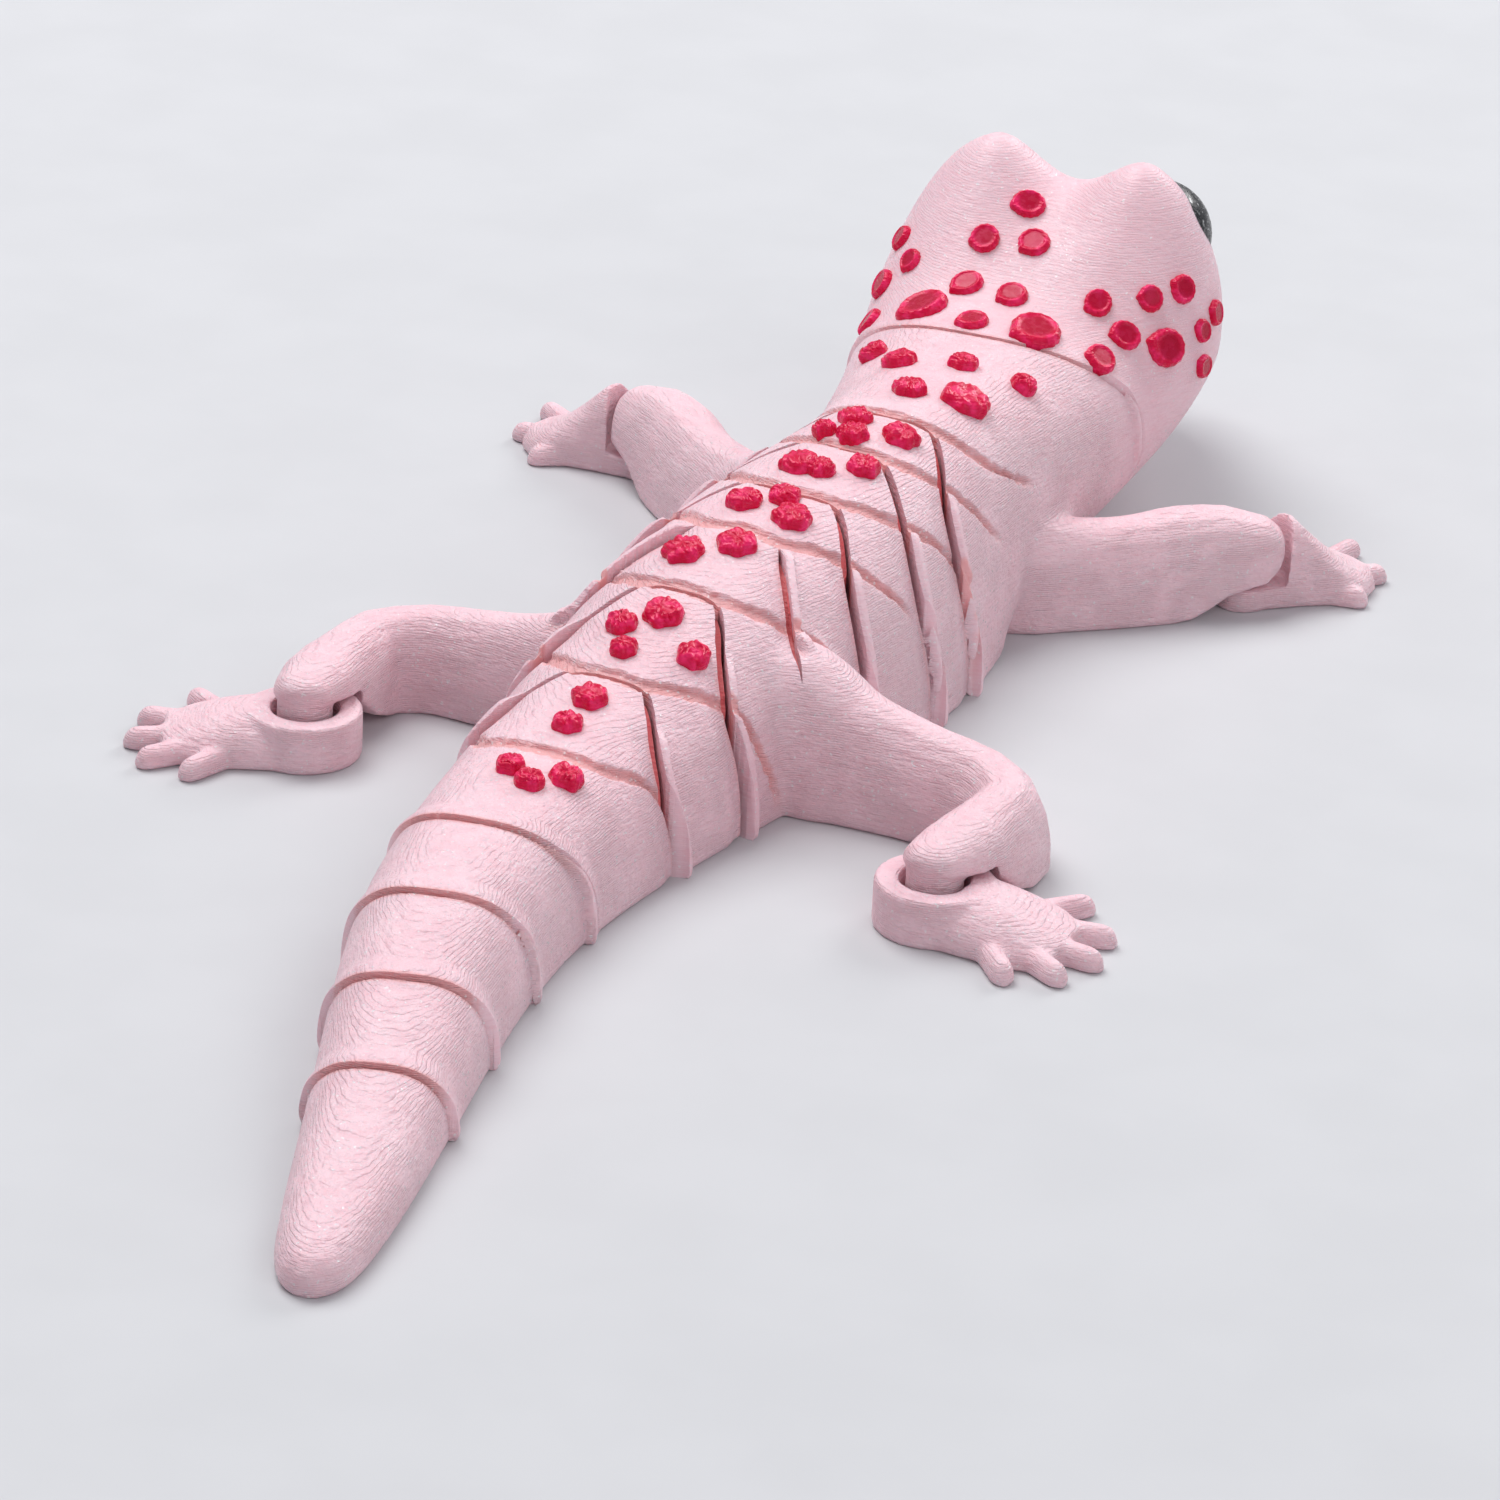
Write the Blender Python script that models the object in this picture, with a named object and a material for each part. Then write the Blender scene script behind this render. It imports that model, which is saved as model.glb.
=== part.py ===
"""Articulated toy gecko, printed in place, lying on its flat belly.

The body is one loft along a curved spine, flat below up to the neck, with
the head lifted off the floor. It is parted into links by upright cuts. Those
of the tail and head are circles about the vertical axis that the two links
turn on. Those of the trunk run back along the toy's slits. The legs are lofts
too, and every foot is a loop that turns on its ankle post.
Distances along the spine are counted in mm from a mark at the tail's tip. +Y
is headward, +X is the animal's right, and the floor is z = 0.
"""
import math

import bmesh
import bpy
from mathutils import Matrix, Vector

MM = 0.001
WELD = 0.00001           # m, closer points are one

# Body rows: distance along the spine, half width, underside and top, all in mm.
BODY_PROFILE = [
    (-4.6, 1.0, 0.0, 2.2),
    (-3.4, 2.5, 0.0, 3.4),
    (0.0, 3.8, 0.0, 4.3),
    (5.0, 4.6, 0.0, 5.0),
    (12.0, 5.4, 0.0, 5.8),
    (26.0, 6.6, 0.0, 7.9),
    (40.0, 7.8, 0.0, 10.6),
    (54.0, 9.0, 0.0, 12.6),
    (68.0, 10.2, 0.0, 13.1),
    (82.0, 11.8, 0.0, 13.9),
    (96.0, 13.7, 0.0, 16.4),
    (110.0, 15.4, 0.0, 20.2),
    (124.0, 16.8, 0.0, 22.4),
    (138.0, 16.4, 0.0, 23.8),
    (150.0, 14.4, 0.0, 24.6),
    (160.0, 13.8, 0.0, 24.6),
    (170.0, 15.2, 0.6, 24.4),
    (182.0, 17.3, 3.4, 26.2),
    (190.0, 18.9, 6.2, 30.2),
    (198.0, 19.0, 9.0, 33.6),
    (205.0, 16.6, 10.0, 30.8),
    (211.0, 13.4, 10.4, 25.4),
    (217.0, 9.8, 10.9, 20.4),
    (221.0, 6.4, 11.6, 17.4),
    (223.0, 3.0, 12.8, 15.6),
]
SECTION_POWER = 2.4      # 2 is an ellipse, more is boxier
DOME_STEPS = 16          # faces over the upper part of a section
BELLY_STEPS = 8          # faces under its widest line
WAIST = 0.42             # share of a raised section below its widest line
WAIST_FROM = 148.0       # mm along the spine, where the flat belly ends
WAIST_FULL = 164.0
LOFT_STEP = 3.5          # mm between sections
BROW_LOFT_FROM = 182.0   # mm along the spine, where sections lie closer
BROW_LOFT_STEP = 2.4
FLOOR_BEVEL = 0.4        # mm, the small chamfer along the floor

# Spine: distance in mm, heading in degrees (90 is +Y).
SPINE_HEADINGS = [
    (0.0, 102.6),
    (12.0, 103.6),
    (26.0, 104.3),
    (40.0, 104.2),
    (54.0, 100.0),
    (68.0, 92.8),
    (82.0, 87.2),
    (96.0, 84.5),
    (110.0, 83.4),
    (124.0, 81.3),
    (138.0, 82.2),
    (150.0, 85.6),
    (160.0, 89.4),
    (168.0, 90.4),
    (176.0, 89.4),
    (190.0, 87.0),
    (223.0, 86.5),
]

# Cuts of the tail and head: seam middle (mm along the spine), radius and gap.
TAIL_SEAMS = {
    "tail_4": (23.0, 18.0, 0.65),
    "tail_3": (35.6, 13.0, 0.65),
    "tail_2": (48.4, 12.5, 0.65),
    "tail_1": (62.0, 12.5, 0.65),
    "head": (173.2, 24.0, 0.6),
}
TAIL_SWEEP = 62.0        # degrees that such a cut runs to each side

# Cuts of the trunk: pivot (mm along the spine), gap in mm, and the path of the
# right half, (along, out) in mm, from the middle line to past the flank.
TRUNK_SEAMS = {
    "rump": (84.0, 0.95, [
        (92.8, 0.0), (92.2, 4.0), (86.8, 8.2), (84.5, 10.6), (85.0, 12.4), (85.6, 34.0)]),
    "hips": (98.0, 0.95, [
        (107.3, 0.0), (106.8, 3.7), (101.9, 7.3), (97.3, 10.9), (96.3, 13.6), (96.8, 34.0)]),
    "belly": (119.0, 1.0, [
        (128.0, 0.0), (128.6, 5.0), (120.6, 11.7), (117.9, 15.3), (118.4, 17.0),
        (118.9, 34.0)]),
    "chest": (131.0, 0.95, [
        (139.2, 0.0), (138.6, 4.9), (132.9, 10.8), (129.7, 15.0), (130.9, 16.8),
        (131.6, 34.0)]),
    "shoulders": (140.0, 0.95, [
        (148.3, 0.0), (148.6, 5.1), (141.2, 10.8), (138.3, 14.6), (139.3, 16.2),
        (140.0, 34.0)]),
}
PATH_STEP = 1.2          # mm between points of a trunk seam
SEAM_STEPS = 14
END_REACH = 34.0         # mm, well past the body's sides
NECK_CUT = 163.0         # mm, fixed line between shoulders and neck
FIXED_GAP = 0.3          # mm between two parts of the same link

# Links from the tail on, with the seam behind and the seam ahead of each.
LINKS = [
    ("tail_tip", None, "tail_4"),
    ("tail_4", "tail_4", "tail_3"),
    ("tail_3", "tail_3", "tail_2"),
    ("tail_2", "tail_2", "tail_1"),
    ("tail_1", "tail_1", "rump"),
    ("rump", "rump", "hips"),
    ("hips", "hips", "belly"),
    ("belly", "belly", "chest"),
    ("chest", "chest", "shoulders"),
    ("shoulders", "shoulders", "neck"),
    ("neck", "neck", "head"),
    ("head", "head", None),
]
# The hips carry the others: which seam's axis each moving link turns on.
HINGES = {
    "tail_tip": "tail_4", "tail_4": "tail_3", "tail_3": "tail_2", "tail_2": "tail_1",
    "tail_1": "rump", "rump": "hips", "belly": "belly", "chest": "chest",
    "shoulders": "shoulders", "head": "head",
}

# Eyes: a brow swells over each of them, and a ball sits in its outer side.
EYE_AT = 198.5           # mm along the spine
EYE_OUT = 9.8            # mm from the middle line
EYE_SHIFT = 0.3          # mm, how far right of the spine the pair sits
BROW_RISE = 6.1
BROW_BACK = 10.0         # mm, reach of a brow tailward
BROW_FRONT = 7.6         # mm, reach headward
BROW_INNER = 6.0         # mm, reach towards the middle line
BROW_OUTER = 8.6         # mm, reach outwards
EYEBALL_RADIUS = 6.0
EYEBALL_AHEAD = 1.8      # mm ahead of the brow's middle
EYEBALL_OUT = 0.0        # mm beyond the brow's middle
EYEBALL_HEIGHT = 29.6

# Hind leg: (along, out, half width, underside, top) in mm along the spine and
# from the middle line, then the ankle post that the foot turns on.
HIND_ROOT = 110.0
HIND_TURN = 0.8          # degrees that the pair is turned left of the spine
HIND_SHIFT = 2.2         # mm that the pair sits right of the spine
HIND_LEG = [
    (109.4, 9.0, 7.0, 0.0, 17.0),
    (109.4, 14.0, 6.4, 0.0, 14.6),
    (109.2, 18.0, 5.3, 0.0, 12.2),
    (108.8, 25.0, 4.4, 0.0, 10.7),
    (108.2, 31.0, 4.5, 0.0, 10.0),
    (104.8, 35.3, 4.5, 0.0, 9.7),
    (99.6, 35.6, 4.4, 0.9, 9.7),
    (94.4, 35.4, 4.2, 4.7, 9.4),
    (90.4, 34.8, 3.4, 5.8, 8.8),
]
HIND_ANKLE = (90.2, 34.8)
HIND_FOOT_AIM = -15.3    # degrees headward of straight out

# Front leg, measured the same way, and its wrist post.
FRONT_ROOT = 155.0
FRONT_TURN = 0.0
FRONT_SHIFT = -4.0
FRONT_LEG = [
    (152.8, 6.0, 6.6, 0.0, 17.0),
    (156.0, 11.5, 5.8, 0.0, 14.2),
    (160.2, 17.0, 5.1, 0.0, 11.6),
    (165.9, 24.0, 5.0, 0.0, 10.7),
    (171.2, 29.2, 5.2, 0.2, 11.0),
    (174.0, 33.2, 4.7, 2.6, 10.8),
    (175.0, 35.2, 4.3, 3.2, 10.2),
]
FRONT_ANKLE = (175.0, 34.9)
FRONT_FOOT_AIM = 27.2
FOOT_TURN = {"foot_hind_left": -14.2, "foot_hind_right": 14.2,
             "foot_front_left": -21.7, "foot_front_right": 21.7}

# Foot: a loop round the ankle post, a palm and toes, (along, headward) in mm.
LOOP_ROOM = 0.6          # mm kept free over and round the loop
POST_FOOT = 0.3          # mm, the post's lower end above the floor
POST_RISE = 2.0          # mm that it runs up into the leg above the loop
POST_SLACK = 0.6         # mm between the post and the loop
TOE_HALF_WIDTH = 1.35
TOE_HEIGHT = 2.5
HIND_FOOT = {
    "loop": 5.8, "height": 5.0, "post": 2.8, "back": 0.0,
    "palm": [
        (-2.0, 0.0, 5.2, 0.0, 5.0),
        (4.5, 0.4, 5.6, 0.0, 5.2),
        (9.0, 0.8, 5.8, 0.0, 4.2),
        (12.0, 1.0, 5.4, 0.0, 3.1),
        (14.0, 1.0, 4.0, 0.0, 2.4),
    ],
    "toes": [(11.8, 10.9), (16.9, 5.4), (18.0, 0.0), (16.4, -5.1), (11.8, -7.9)],
    "roots": [(7.0, 4.0), (9.5, 3.0), (10.5, 0.0), (9.5, -1.6), (6.5, -2.4)],
}
# The front foot's wrist end is tall, and hollowed to fit round the arm's end.
FRONT_FOOT = {
    "loop": 3.1, "height": 2.5, "post": 1.1, "back": 4.9,
    "palm": [
        (0.5, 0.0, 3.0, 0.0, 9.8),
        (5.0, 0.2, 3.8, 0.0, 9.6),
        (8.0, 0.6, 4.9, 0.0, 6.8),
        (11.0, 0.8, 5.5, 0.0, 4.3),
        (13.4, 0.9, 4.9, 0.0, 3.0),
        (15.0, 1.0, 3.4, 0.0, 2.4),
    ],
    "toes": [(9.4, 9.8), (18.4, 7.7), (17.8, 0.0), (12.4, -5.7)],
    "roots": [(6.6, 4.0), (11.0, 3.4), (11.5, 0.2), (8.0, -2.0)],
}

# Raised spots: (along, to the right, radius) in mm.
BODY_SPOTS = [
    (73.5, -0.7, 1.4), (71.6, 2.0, 1.4), (74.8, 4.4, 1.6),
    (83.2, 0.6, 1.4), (88.2, 0.4, 1.7),
    (96.6, -0.5, 1.3), (100.2, -2.7, 1.5), (102.8, 0.4, 1.9), (99.2, 5.7, 1.6),
    (112.6, -2.9, 2.0), (115.8, 1.3, 1.9),
    (123.6, -2.6, 1.7), (123.1, 3.3, 1.9), (126.1, 0.6, 1.5),
    (133.1, -1.7, 1.9), (133.0, 0.8, 1.4), (136.1, 3.9, 1.6),
    (141.4, -3.5, 1.2), (141.5, -0.3, 1.6), (145.2, -1.9, 1.6),
    (144.3, 3.8, 1.8),
    (154.8, -0.3, 1.7), (156.8, 5.1, 2.5), (163.4, -4.8, 1.7),
    (165.0, 1.7, 1.5), (168.9, -9.6, 1.5), (166.0, 8.1, 1.4),
]
HEAD_SPOTS = [
    (178.6, -8.0, 2.5), (175.9, -1.3, 1.7), (182.6, -4.7, 1.7),
    (182.1, 0.8, 1.7), (177.0, 5.5, 2.7), (186.2, -12.8, 1.3),
    (187.8, -5.0, 1.6), (189.0, 0.3, 1.7), (192.9, -2.2, 1.7),
    (184.4, 9.8, 1.5), (188.1, 14.4, 1.4), (183.6, 13.4, 1.6),
    (187.0, 17.0, 2.1), (178.8, 12.4, 1.7), (191.9, 16.6, 1.5),
]
SPOT_RISE = 1.1
SPOT_ROOT = 1.0
SPOT_SIDES = 8
SPOT_RINGS = [(1.0, -SPOT_ROOT), (1.0, SPOT_RISE * 0.6), (0.66, SPOT_RISE)]

FLOOR_CUT = -6.0         # mm, where the cutting blocks start
TOP_CUT = 44.0           # mm, well over the brows
SMALL_CUT = -2.0
SMALL_CUT_TOP = 12.0
LEG_PARTS = 15
LEG_SIDES = 10
PALM_PARTS = 6
TOE_SIDES = 6
ROUND_SHARES = (0.5, 0.85, 1.0)

PINK = (0.80, 0.55, 0.60, 1.0)
EYE_GREY = (0.03, 0.03, 0.035, 1.0)
PLASTIC_ROUGHNESS = 0.45


def smooth_value(rows, distance, column):
    """Cubic reading of one column of a table of (distance, ...) rows."""
    last = len(rows) - 1
    if distance <= rows[0][0]:
        return rows[0][column]
    if distance >= rows[last][0]:
        return rows[last][column]
    index = 0
    while rows[index + 1][0] < distance:
        index += 1

    def slope(i):
        low = max(i - 1, 0)
        high = min(i + 1, last)
        run = rows[high][0] - rows[low][0]
        return (rows[high][column] - rows[low][column]) / run

    start = rows[index]
    end = rows[index + 1]
    run = end[0] - start[0]
    t = (distance - start[0]) / run
    a = 2 * t ** 3 - 3 * t ** 2 + 1
    b = t ** 3 - 2 * t ** 2 + t
    c = -2 * t ** 3 + 3 * t ** 2
    d = t ** 3 - t ** 2
    return a * start[column] + b * run * slope(index) + c * end[column] + d * run * slope(index + 1)


def spine_points(step=0.5):
    """Places of the spine every step mm, from the tail tip on."""
    places = [Vector((0.0, 0.0))]
    start = BODY_PROFILE[0][0]
    count = int(round((BODY_PROFILE[-1][0] - start) / step))
    for index in range(count):
        heading = math.radians(smooth_value(SPINE_HEADINGS, start + (index + 0.5) * step, 1))
        places.append(places[-1] + Vector((math.cos(heading), math.sin(heading))) * step)
    return places, step


SPINE, SPINE_STEP = spine_points()


def spine_frame(distance):
    """Place, forward and rightward directions of the spine in plan, in mm."""
    heading = math.radians(smooth_value(SPINE_HEADINGS, distance, 1))
    forward = Vector((math.cos(heading), math.sin(heading)))
    right = Vector((math.sin(heading), -math.cos(heading)))
    position = (distance - BODY_PROFILE[0][0]) / SPINE_STEP
    position = min(max(position, 0.0), len(SPINE) - 1.001)
    index = int(position)
    place = SPINE[index].lerp(SPINE[index + 1], position - index)
    return place, forward, right


def section_dome(half_width, height, steps):
    """Points of a flat-bottomed section, from its right floor edge to its left."""
    bevel = min(FLOOR_BEVEL, 0.2 * half_width)
    points = [(half_width - bevel, 0.0)]
    for index in range(steps + 1):
        angle = math.pi * index / steps
        across = math.cos(angle)
        power = 2.0 / SECTION_POWER
        x = math.copysign(abs(across) ** power, across) * half_width
        z = math.sin(angle) ** power * (height - bevel) + bevel
        points.append((x, z))
    points.append((-half_width + bevel, 0.0))
    return points


def body_row(distance, grow=0.0):
    """Half width, underside, widest height and top of the body at a distance."""
    half = smooth_value(BODY_PROFILE, distance, 1) + grow
    low = max(smooth_value(BODY_PROFILE, distance, 2), 0.0) - grow
    top = smooth_value(BODY_PROFILE, distance, 3) + grow
    share = min(max((distance - WAIST_FROM) / (WAIST_FULL - WAIST_FROM), 0.0), 1.0)
    bevel = min(FLOOR_BEVEL, 0.2 * half)
    widest = low + max(share * WAIST * (top - low), bevel)
    return half, low, widest, top, share


def brow_rise(distance, out):
    """How far the two brows lift the head's top at a place in plan, in mm."""
    ahead = distance - EYE_AT
    reach = BROW_FRONT if ahead > 0 else BROW_BACK
    lift = 0.0
    for hand in (1, -1):
        across = hand * (out - EYE_SHIFT) - EYE_OUT
        side = BROW_OUTER if across > 0 else BROW_INNER
        lift += BROW_RISE * math.exp(-(ahead / reach) ** 2 - (across / side) ** 2)
    return lift


def body_section(distance, grow=0.0):
    """Points (across, height) round the body's section, counter-clockwise."""
    half, low, widest, top, share = body_row(distance, grow)
    power = 2.0 / SECTION_POWER
    edge = math.cos(math.pi / BELLY_STEPS)
    points = []
    for index in range(DOME_STEPS + 1):
        angle = math.pi * index / DOME_STEPS
        across = math.cos(angle)
        x = math.copysign(abs(across) ** power, across) * half
        rise = math.sin(angle) ** power
        points.append((x, widest + rise * (top - widest + brow_rise(distance, x))))
    for index in range(1, BELLY_STEPS):
        angle = math.pi * (1 + index / BELLY_STEPS)
        across = math.cos(angle)
        flat = across / edge * (half - widest + low)
        curved = math.copysign(abs(across) ** power, across) * half
        drop = abs(math.sin(angle)) ** (power * share)
        if share < 1.0:
            curved = flat + (curved - flat) * share
        points.append((curved, widest - drop * (widest - low)))
    return points


def dome_height(distance, out, grow=0.0):
    """Height of the body's skin over a place in plan, in mm."""
    half, low, widest, top, rounding = body_row(distance, grow)
    share = min(abs(out) / half, 0.999)
    rise = (1 - share ** SECTION_POWER) ** (1 / SECTION_POWER)
    return widest + rise * (top - widest + brow_rise(distance, out))


def loft(rings):
    """Closed mesh through rings of equal length, given tail end first."""
    bm = bmesh.new()
    loops = [[bm.verts.new(point) for point in ring] for ring in rings]
    count = len(loops[0])
    for first, second in zip(loops, loops[1:]):
        for index in range(count):
            after = (index + 1) % count
            bm.faces.new((first[index], first[after], second[after]))
            bm.faces.new((first[index], second[after], second[index]))
    bm.faces.new(list(reversed(loops[0])))
    bm.faces.new(loops[-1])
    bmesh.ops.recalc_face_normals(bm, faces=bm.faces)
    return bm


def make_object(name, bm):
    """Put a bmesh into the scene as an object."""
    mesh = bpy.data.meshes.new(name)
    bm.to_mesh(mesh)
    bm.free()
    obj = bpy.data.objects.new(name, mesh)
    bpy.context.collection.objects.link(obj)
    return obj


def body_loft(name, grow=0.0):
    """The whole trunk from tail tip to snout, swollen by grow mm."""
    length = BODY_PROFILE[-1][0]
    stations = [row[0] for row in BODY_PROFILE[:4]]
    distance = stations[-1] + LOFT_STEP
    while distance < BODY_PROFILE[-4][0] - 1.0:
        stations.append(distance)
        distance += BROW_LOFT_STEP if distance > BROW_LOFT_FROM else LOFT_STEP
    stations.extend(row[0] for row in BODY_PROFILE[-4:-1])
    stations.append(length)
    rings = []
    for distance in stations:
        place, forward, right = spine_frame(distance)
        ring = []
        for x, z in body_section(distance, grow):
            spot = place + right * x
            ring.append(Vector((spot.x, spot.y, z)) * MM)
        rings.append(ring)
    return make_object(name, loft(rings))


def prism(name, outline, low, high):
    """Upright block over a plan outline given in mm."""
    bm = bmesh.new()
    base = [bm.verts.new(Vector((p.x, p.y, low)) * MM) for p in outline]
    face = bm.faces.new(base)
    raised = bmesh.ops.extrude_face_region(bm, geom=[face])
    lift = Vector((0.0, 0.0, (high - low) * MM))
    verts = [item for item in raised["geom"] if isinstance(item, bmesh.types.BMVert)]
    bmesh.ops.translate(bm, vec=lift, verts=verts)
    bmesh.ops.recalc_face_normals(bm, faces=bm.faces)
    return make_object(name, bm)


def seam_pivot(name):
    """Plan place, in mm, of the axis that a seam's two links turn on."""
    if name in TRUNK_SEAMS:
        return spine_frame(TRUNK_SEAMS[name][0])[0]
    middle, radius, gap = TAIL_SEAMS[name]
    place, forward, right = spine_frame(middle)
    return place + forward * radius


def tail_seam(name, side):
    """Points of a seam that is a circle about a pivot ahead of it."""
    middle, radius, gap = TAIL_SEAMS[name]
    forward, right = spine_frame(middle)[1:]
    reach = radius - side * gap / 2
    points = []
    for index in range(SEAM_STEPS + 1):
        angle = math.radians(TAIL_SWEEP * (1 - 2 * index / SEAM_STEPS))
        arm = right * math.sin(angle) - forward * math.cos(angle)
        points.append(seam_pivot(name) + arm * reach)
    return points


def trunk_seam(name, side):
    """Points, right to left, of one wall of a seam that runs back along the slits."""
    pivot, gap, path = TRUNK_SEAMS[name]
    marks = [0.0]
    for first, second in zip(path, path[1:-1]):
        marks.append(marks[-1] + math.hypot(second[0] - first[0], second[1] - first[1]))
    table = [(mark,) + row for mark, row in zip(marks, path)]
    count = int(marks[-1] / PATH_STEP)
    half = [path[-1]]
    for index in range(count, -1, -1):
        mark = marks[-1] * index / count
        half.append((smooth_value(table, mark, 1), smooth_value(table, mark, 2)))
    rows = half + [(along, -out) for along, out in reversed(half[:-1])]
    line = []
    for along, out in rows:
        place, forward, right = spine_frame(along)
        line.append(place + right * out)
    points = []
    last = len(line) - 1
    for index, point in enumerate(line):
        run = (line[min(index + 1, last)] - line[max(index - 1, 0)]).normalized()
        points.append(point + Vector((run.y, -run.x)) * (side * gap / 2))
    return points


def seam_points(name, side):
    """Plan points, right to left, of one side of a named seam."""
    if name in TAIL_SEAMS:
        return tail_seam(name, side)
    if name in TRUNK_SEAMS:
        return trunk_seam(name, side)
    place, forward, right = spine_frame(NECK_CUT)
    place = place + forward * (side * FIXED_GAP / 2)
    return [place + right * END_REACH, place - right * END_REACH]


def end_points(distance, beyond):
    """A straight plan line past one end of the body."""
    place, forward, right = spine_frame(distance)
    place = place + forward * beyond
    return [place + right * END_REACH, place - right * END_REACH]


def boolean(target, other, operation):
    """Apply one Boolean and drop the second object."""
    modifier = target.modifiers.new("cut", "BOOLEAN")
    modifier.operation = operation
    modifier.solver = "MANIFOLD"
    modifier.object = other
    apply_modifiers(target)
    bpy.data.objects.remove(other)


def apply_modifiers(obj):
    """Replace an object's mesh by what its modifiers make of it."""
    depsgraph = bpy.context.evaluated_depsgraph_get()
    mesh = bpy.data.meshes.new_from_object(obj.evaluated_get(depsgraph))
    obj.modifiers.clear()
    obj.data = mesh


def fuse(target, pieces):
    """Join pieces to a target by one union and keep the largest surface."""
    group = bpy.data.collections.new("pieces")
    bpy.context.scene.collection.children.link(group)
    for piece in pieces:
        group.objects.link(piece)
    modifier = target.modifiers.new("fuse", "BOOLEAN")
    modifier.operation = "UNION"
    modifier.solver = "MANIFOLD"
    modifier.operand_type = "COLLECTION"
    modifier.collection = group
    apply_modifiers(target)
    for piece in pieces:
        bpy.data.objects.remove(piece)
    bpy.data.collections.remove(group)
    keep_largest(target)


def keep_largest(obj):
    """Drop every closed surface of an object but its largest."""
    bm = bmesh.new()
    bm.from_mesh(obj.data)
    bmesh.ops.remove_doubles(bm, verts=bm.verts, dist=WELD)
    unseen = set(bm.faces)
    groups = []
    while unseen:
        stack = [unseen.pop()]
        group = list(stack)
        while stack:
            face = stack.pop()
            for edge in face.edges:
                for near in edge.link_faces:
                    if near in unseen:
                        unseen.remove(near)
                        stack.append(near)
                        group.append(near)
        groups.append(group)
    groups.sort(key=lambda faces: sum(face.calc_area() for face in faces))
    loose = [face for group in groups[:-1] for face in group]
    bmesh.ops.delete(bm, geom=loose, context="FACES")
    bm.to_mesh(obj.data)
    bm.free()


def leg_frame(root, turn, shift):
    """Plan frame of a pair of legs, turned and shifted off the spine's own."""
    place, forward, right = spine_frame(root)
    angle = math.radians(turn)
    ahead = forward * math.cos(angle) - right * math.sin(angle)
    side = right * math.cos(angle) + forward * math.sin(angle)
    return place + right * shift, ahead, side


def leg_point(row, hand, root, frame):
    """Plan place of a leg point, measured in the straight frame at its root."""
    place, forward, right = frame
    return place + forward * (row[0] - root) + right * (hand * row[1])


def tube(name, rows, steps=12):
    """Flat-bottomed loft through (x, y, half width, underside, top) rows."""
    rings = []
    count = len(rows)
    for index, row in enumerate(rows):
        before = rows[max(index - 1, 0)]
        after = rows[min(index + 1, count - 1)]
        forward = Vector((after[0] - before[0], after[1] - before[1])).normalized()
        right = Vector((forward.y, -forward.x))
        ring = []
        for x, z in section_dome(row[2], row[4] - row[3], steps):
            spot = Vector((row[0], row[1])) + right * x
            ring.append(Vector((spot.x, spot.y, z + row[3])) * MM)
        rings.append(ring)
    return make_object(name, loft(rings))


def refine(rows, parts):
    """Rows read from a smooth curve through a few given ones."""
    marks = [0.0]
    for first, second in zip(rows, rows[1:]):
        marks.append(marks[-1] + math.hypot(second[0] - first[0], second[1] - first[1]))
    table = [(mark,) + tuple(row) for mark, row in zip(marks, rows)]
    fine = []
    for index in range(parts + 1):
        distance = marks[-1] * index / parts
        fine.append(tuple(smooth_value(table, distance, column) for column in range(1, 6)))
    return fine


def rounded_end(rows, length):
    """Close a tube with three shrinking sections past its last row."""
    last = rows[-1]
    before = rows[-2]
    forward = Vector((last[0] - before[0], last[1] - before[1])).normalized()
    rows = list(rows)
    for share in ROUND_SHARES:
        size = math.sqrt(max(1 - (share * 0.97) ** 2, 0.02))
        middle = (last[3] + last[4]) / 2 if last[3] > 0 else last[3]
        low = middle - (middle - last[3]) * size
        high = middle + (last[4] - middle) * size
        x = last[0] + forward.x * length * share
        y = last[1] + forward.y * length * share
        rows.append((x, y, last[2] * size, low, high))
    return rows


def cylinder(name, centre, radius, low, high, sides):
    """Upright round block, in mm."""
    outline = []
    for index in range(sides):
        angle = 2 * math.pi * index / sides
        outline.append(centre + Vector((math.cos(angle), math.sin(angle))) * radius)
    return prism(name, outline, low, high)


def make_leg(name, rows, root, frame, ankle, foot, hand):
    """One leg, from the flank to the post that its foot turns on."""
    placed = []
    for row in rows:
        point = leg_point(row, hand, root, frame)
        placed.append((point.x, point.y) + tuple(row[2:]))
    leg = tube(name, rounded_end(refine(placed, LEG_PARTS), 0.9 * rows[-1][2]), LEG_SIDES)
    centre = leg_point(ankle, hand, root, frame)
    over = foot["height"] + LOOP_ROOM
    room = cylinder("room", centre, foot["loop"] + LOOP_ROOM, SMALL_CUT, over, 24)
    boolean(leg, room, "DIFFERENCE")
    fuse(leg, [cylinder("post", centre, foot["post"], POST_FOOT, over + POST_RISE, 16)])
    boolean(leg, body_loft("skin", FIXED_GAP), "DIFFERENCE")
    keep_largest(leg)
    return leg, centre


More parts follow.
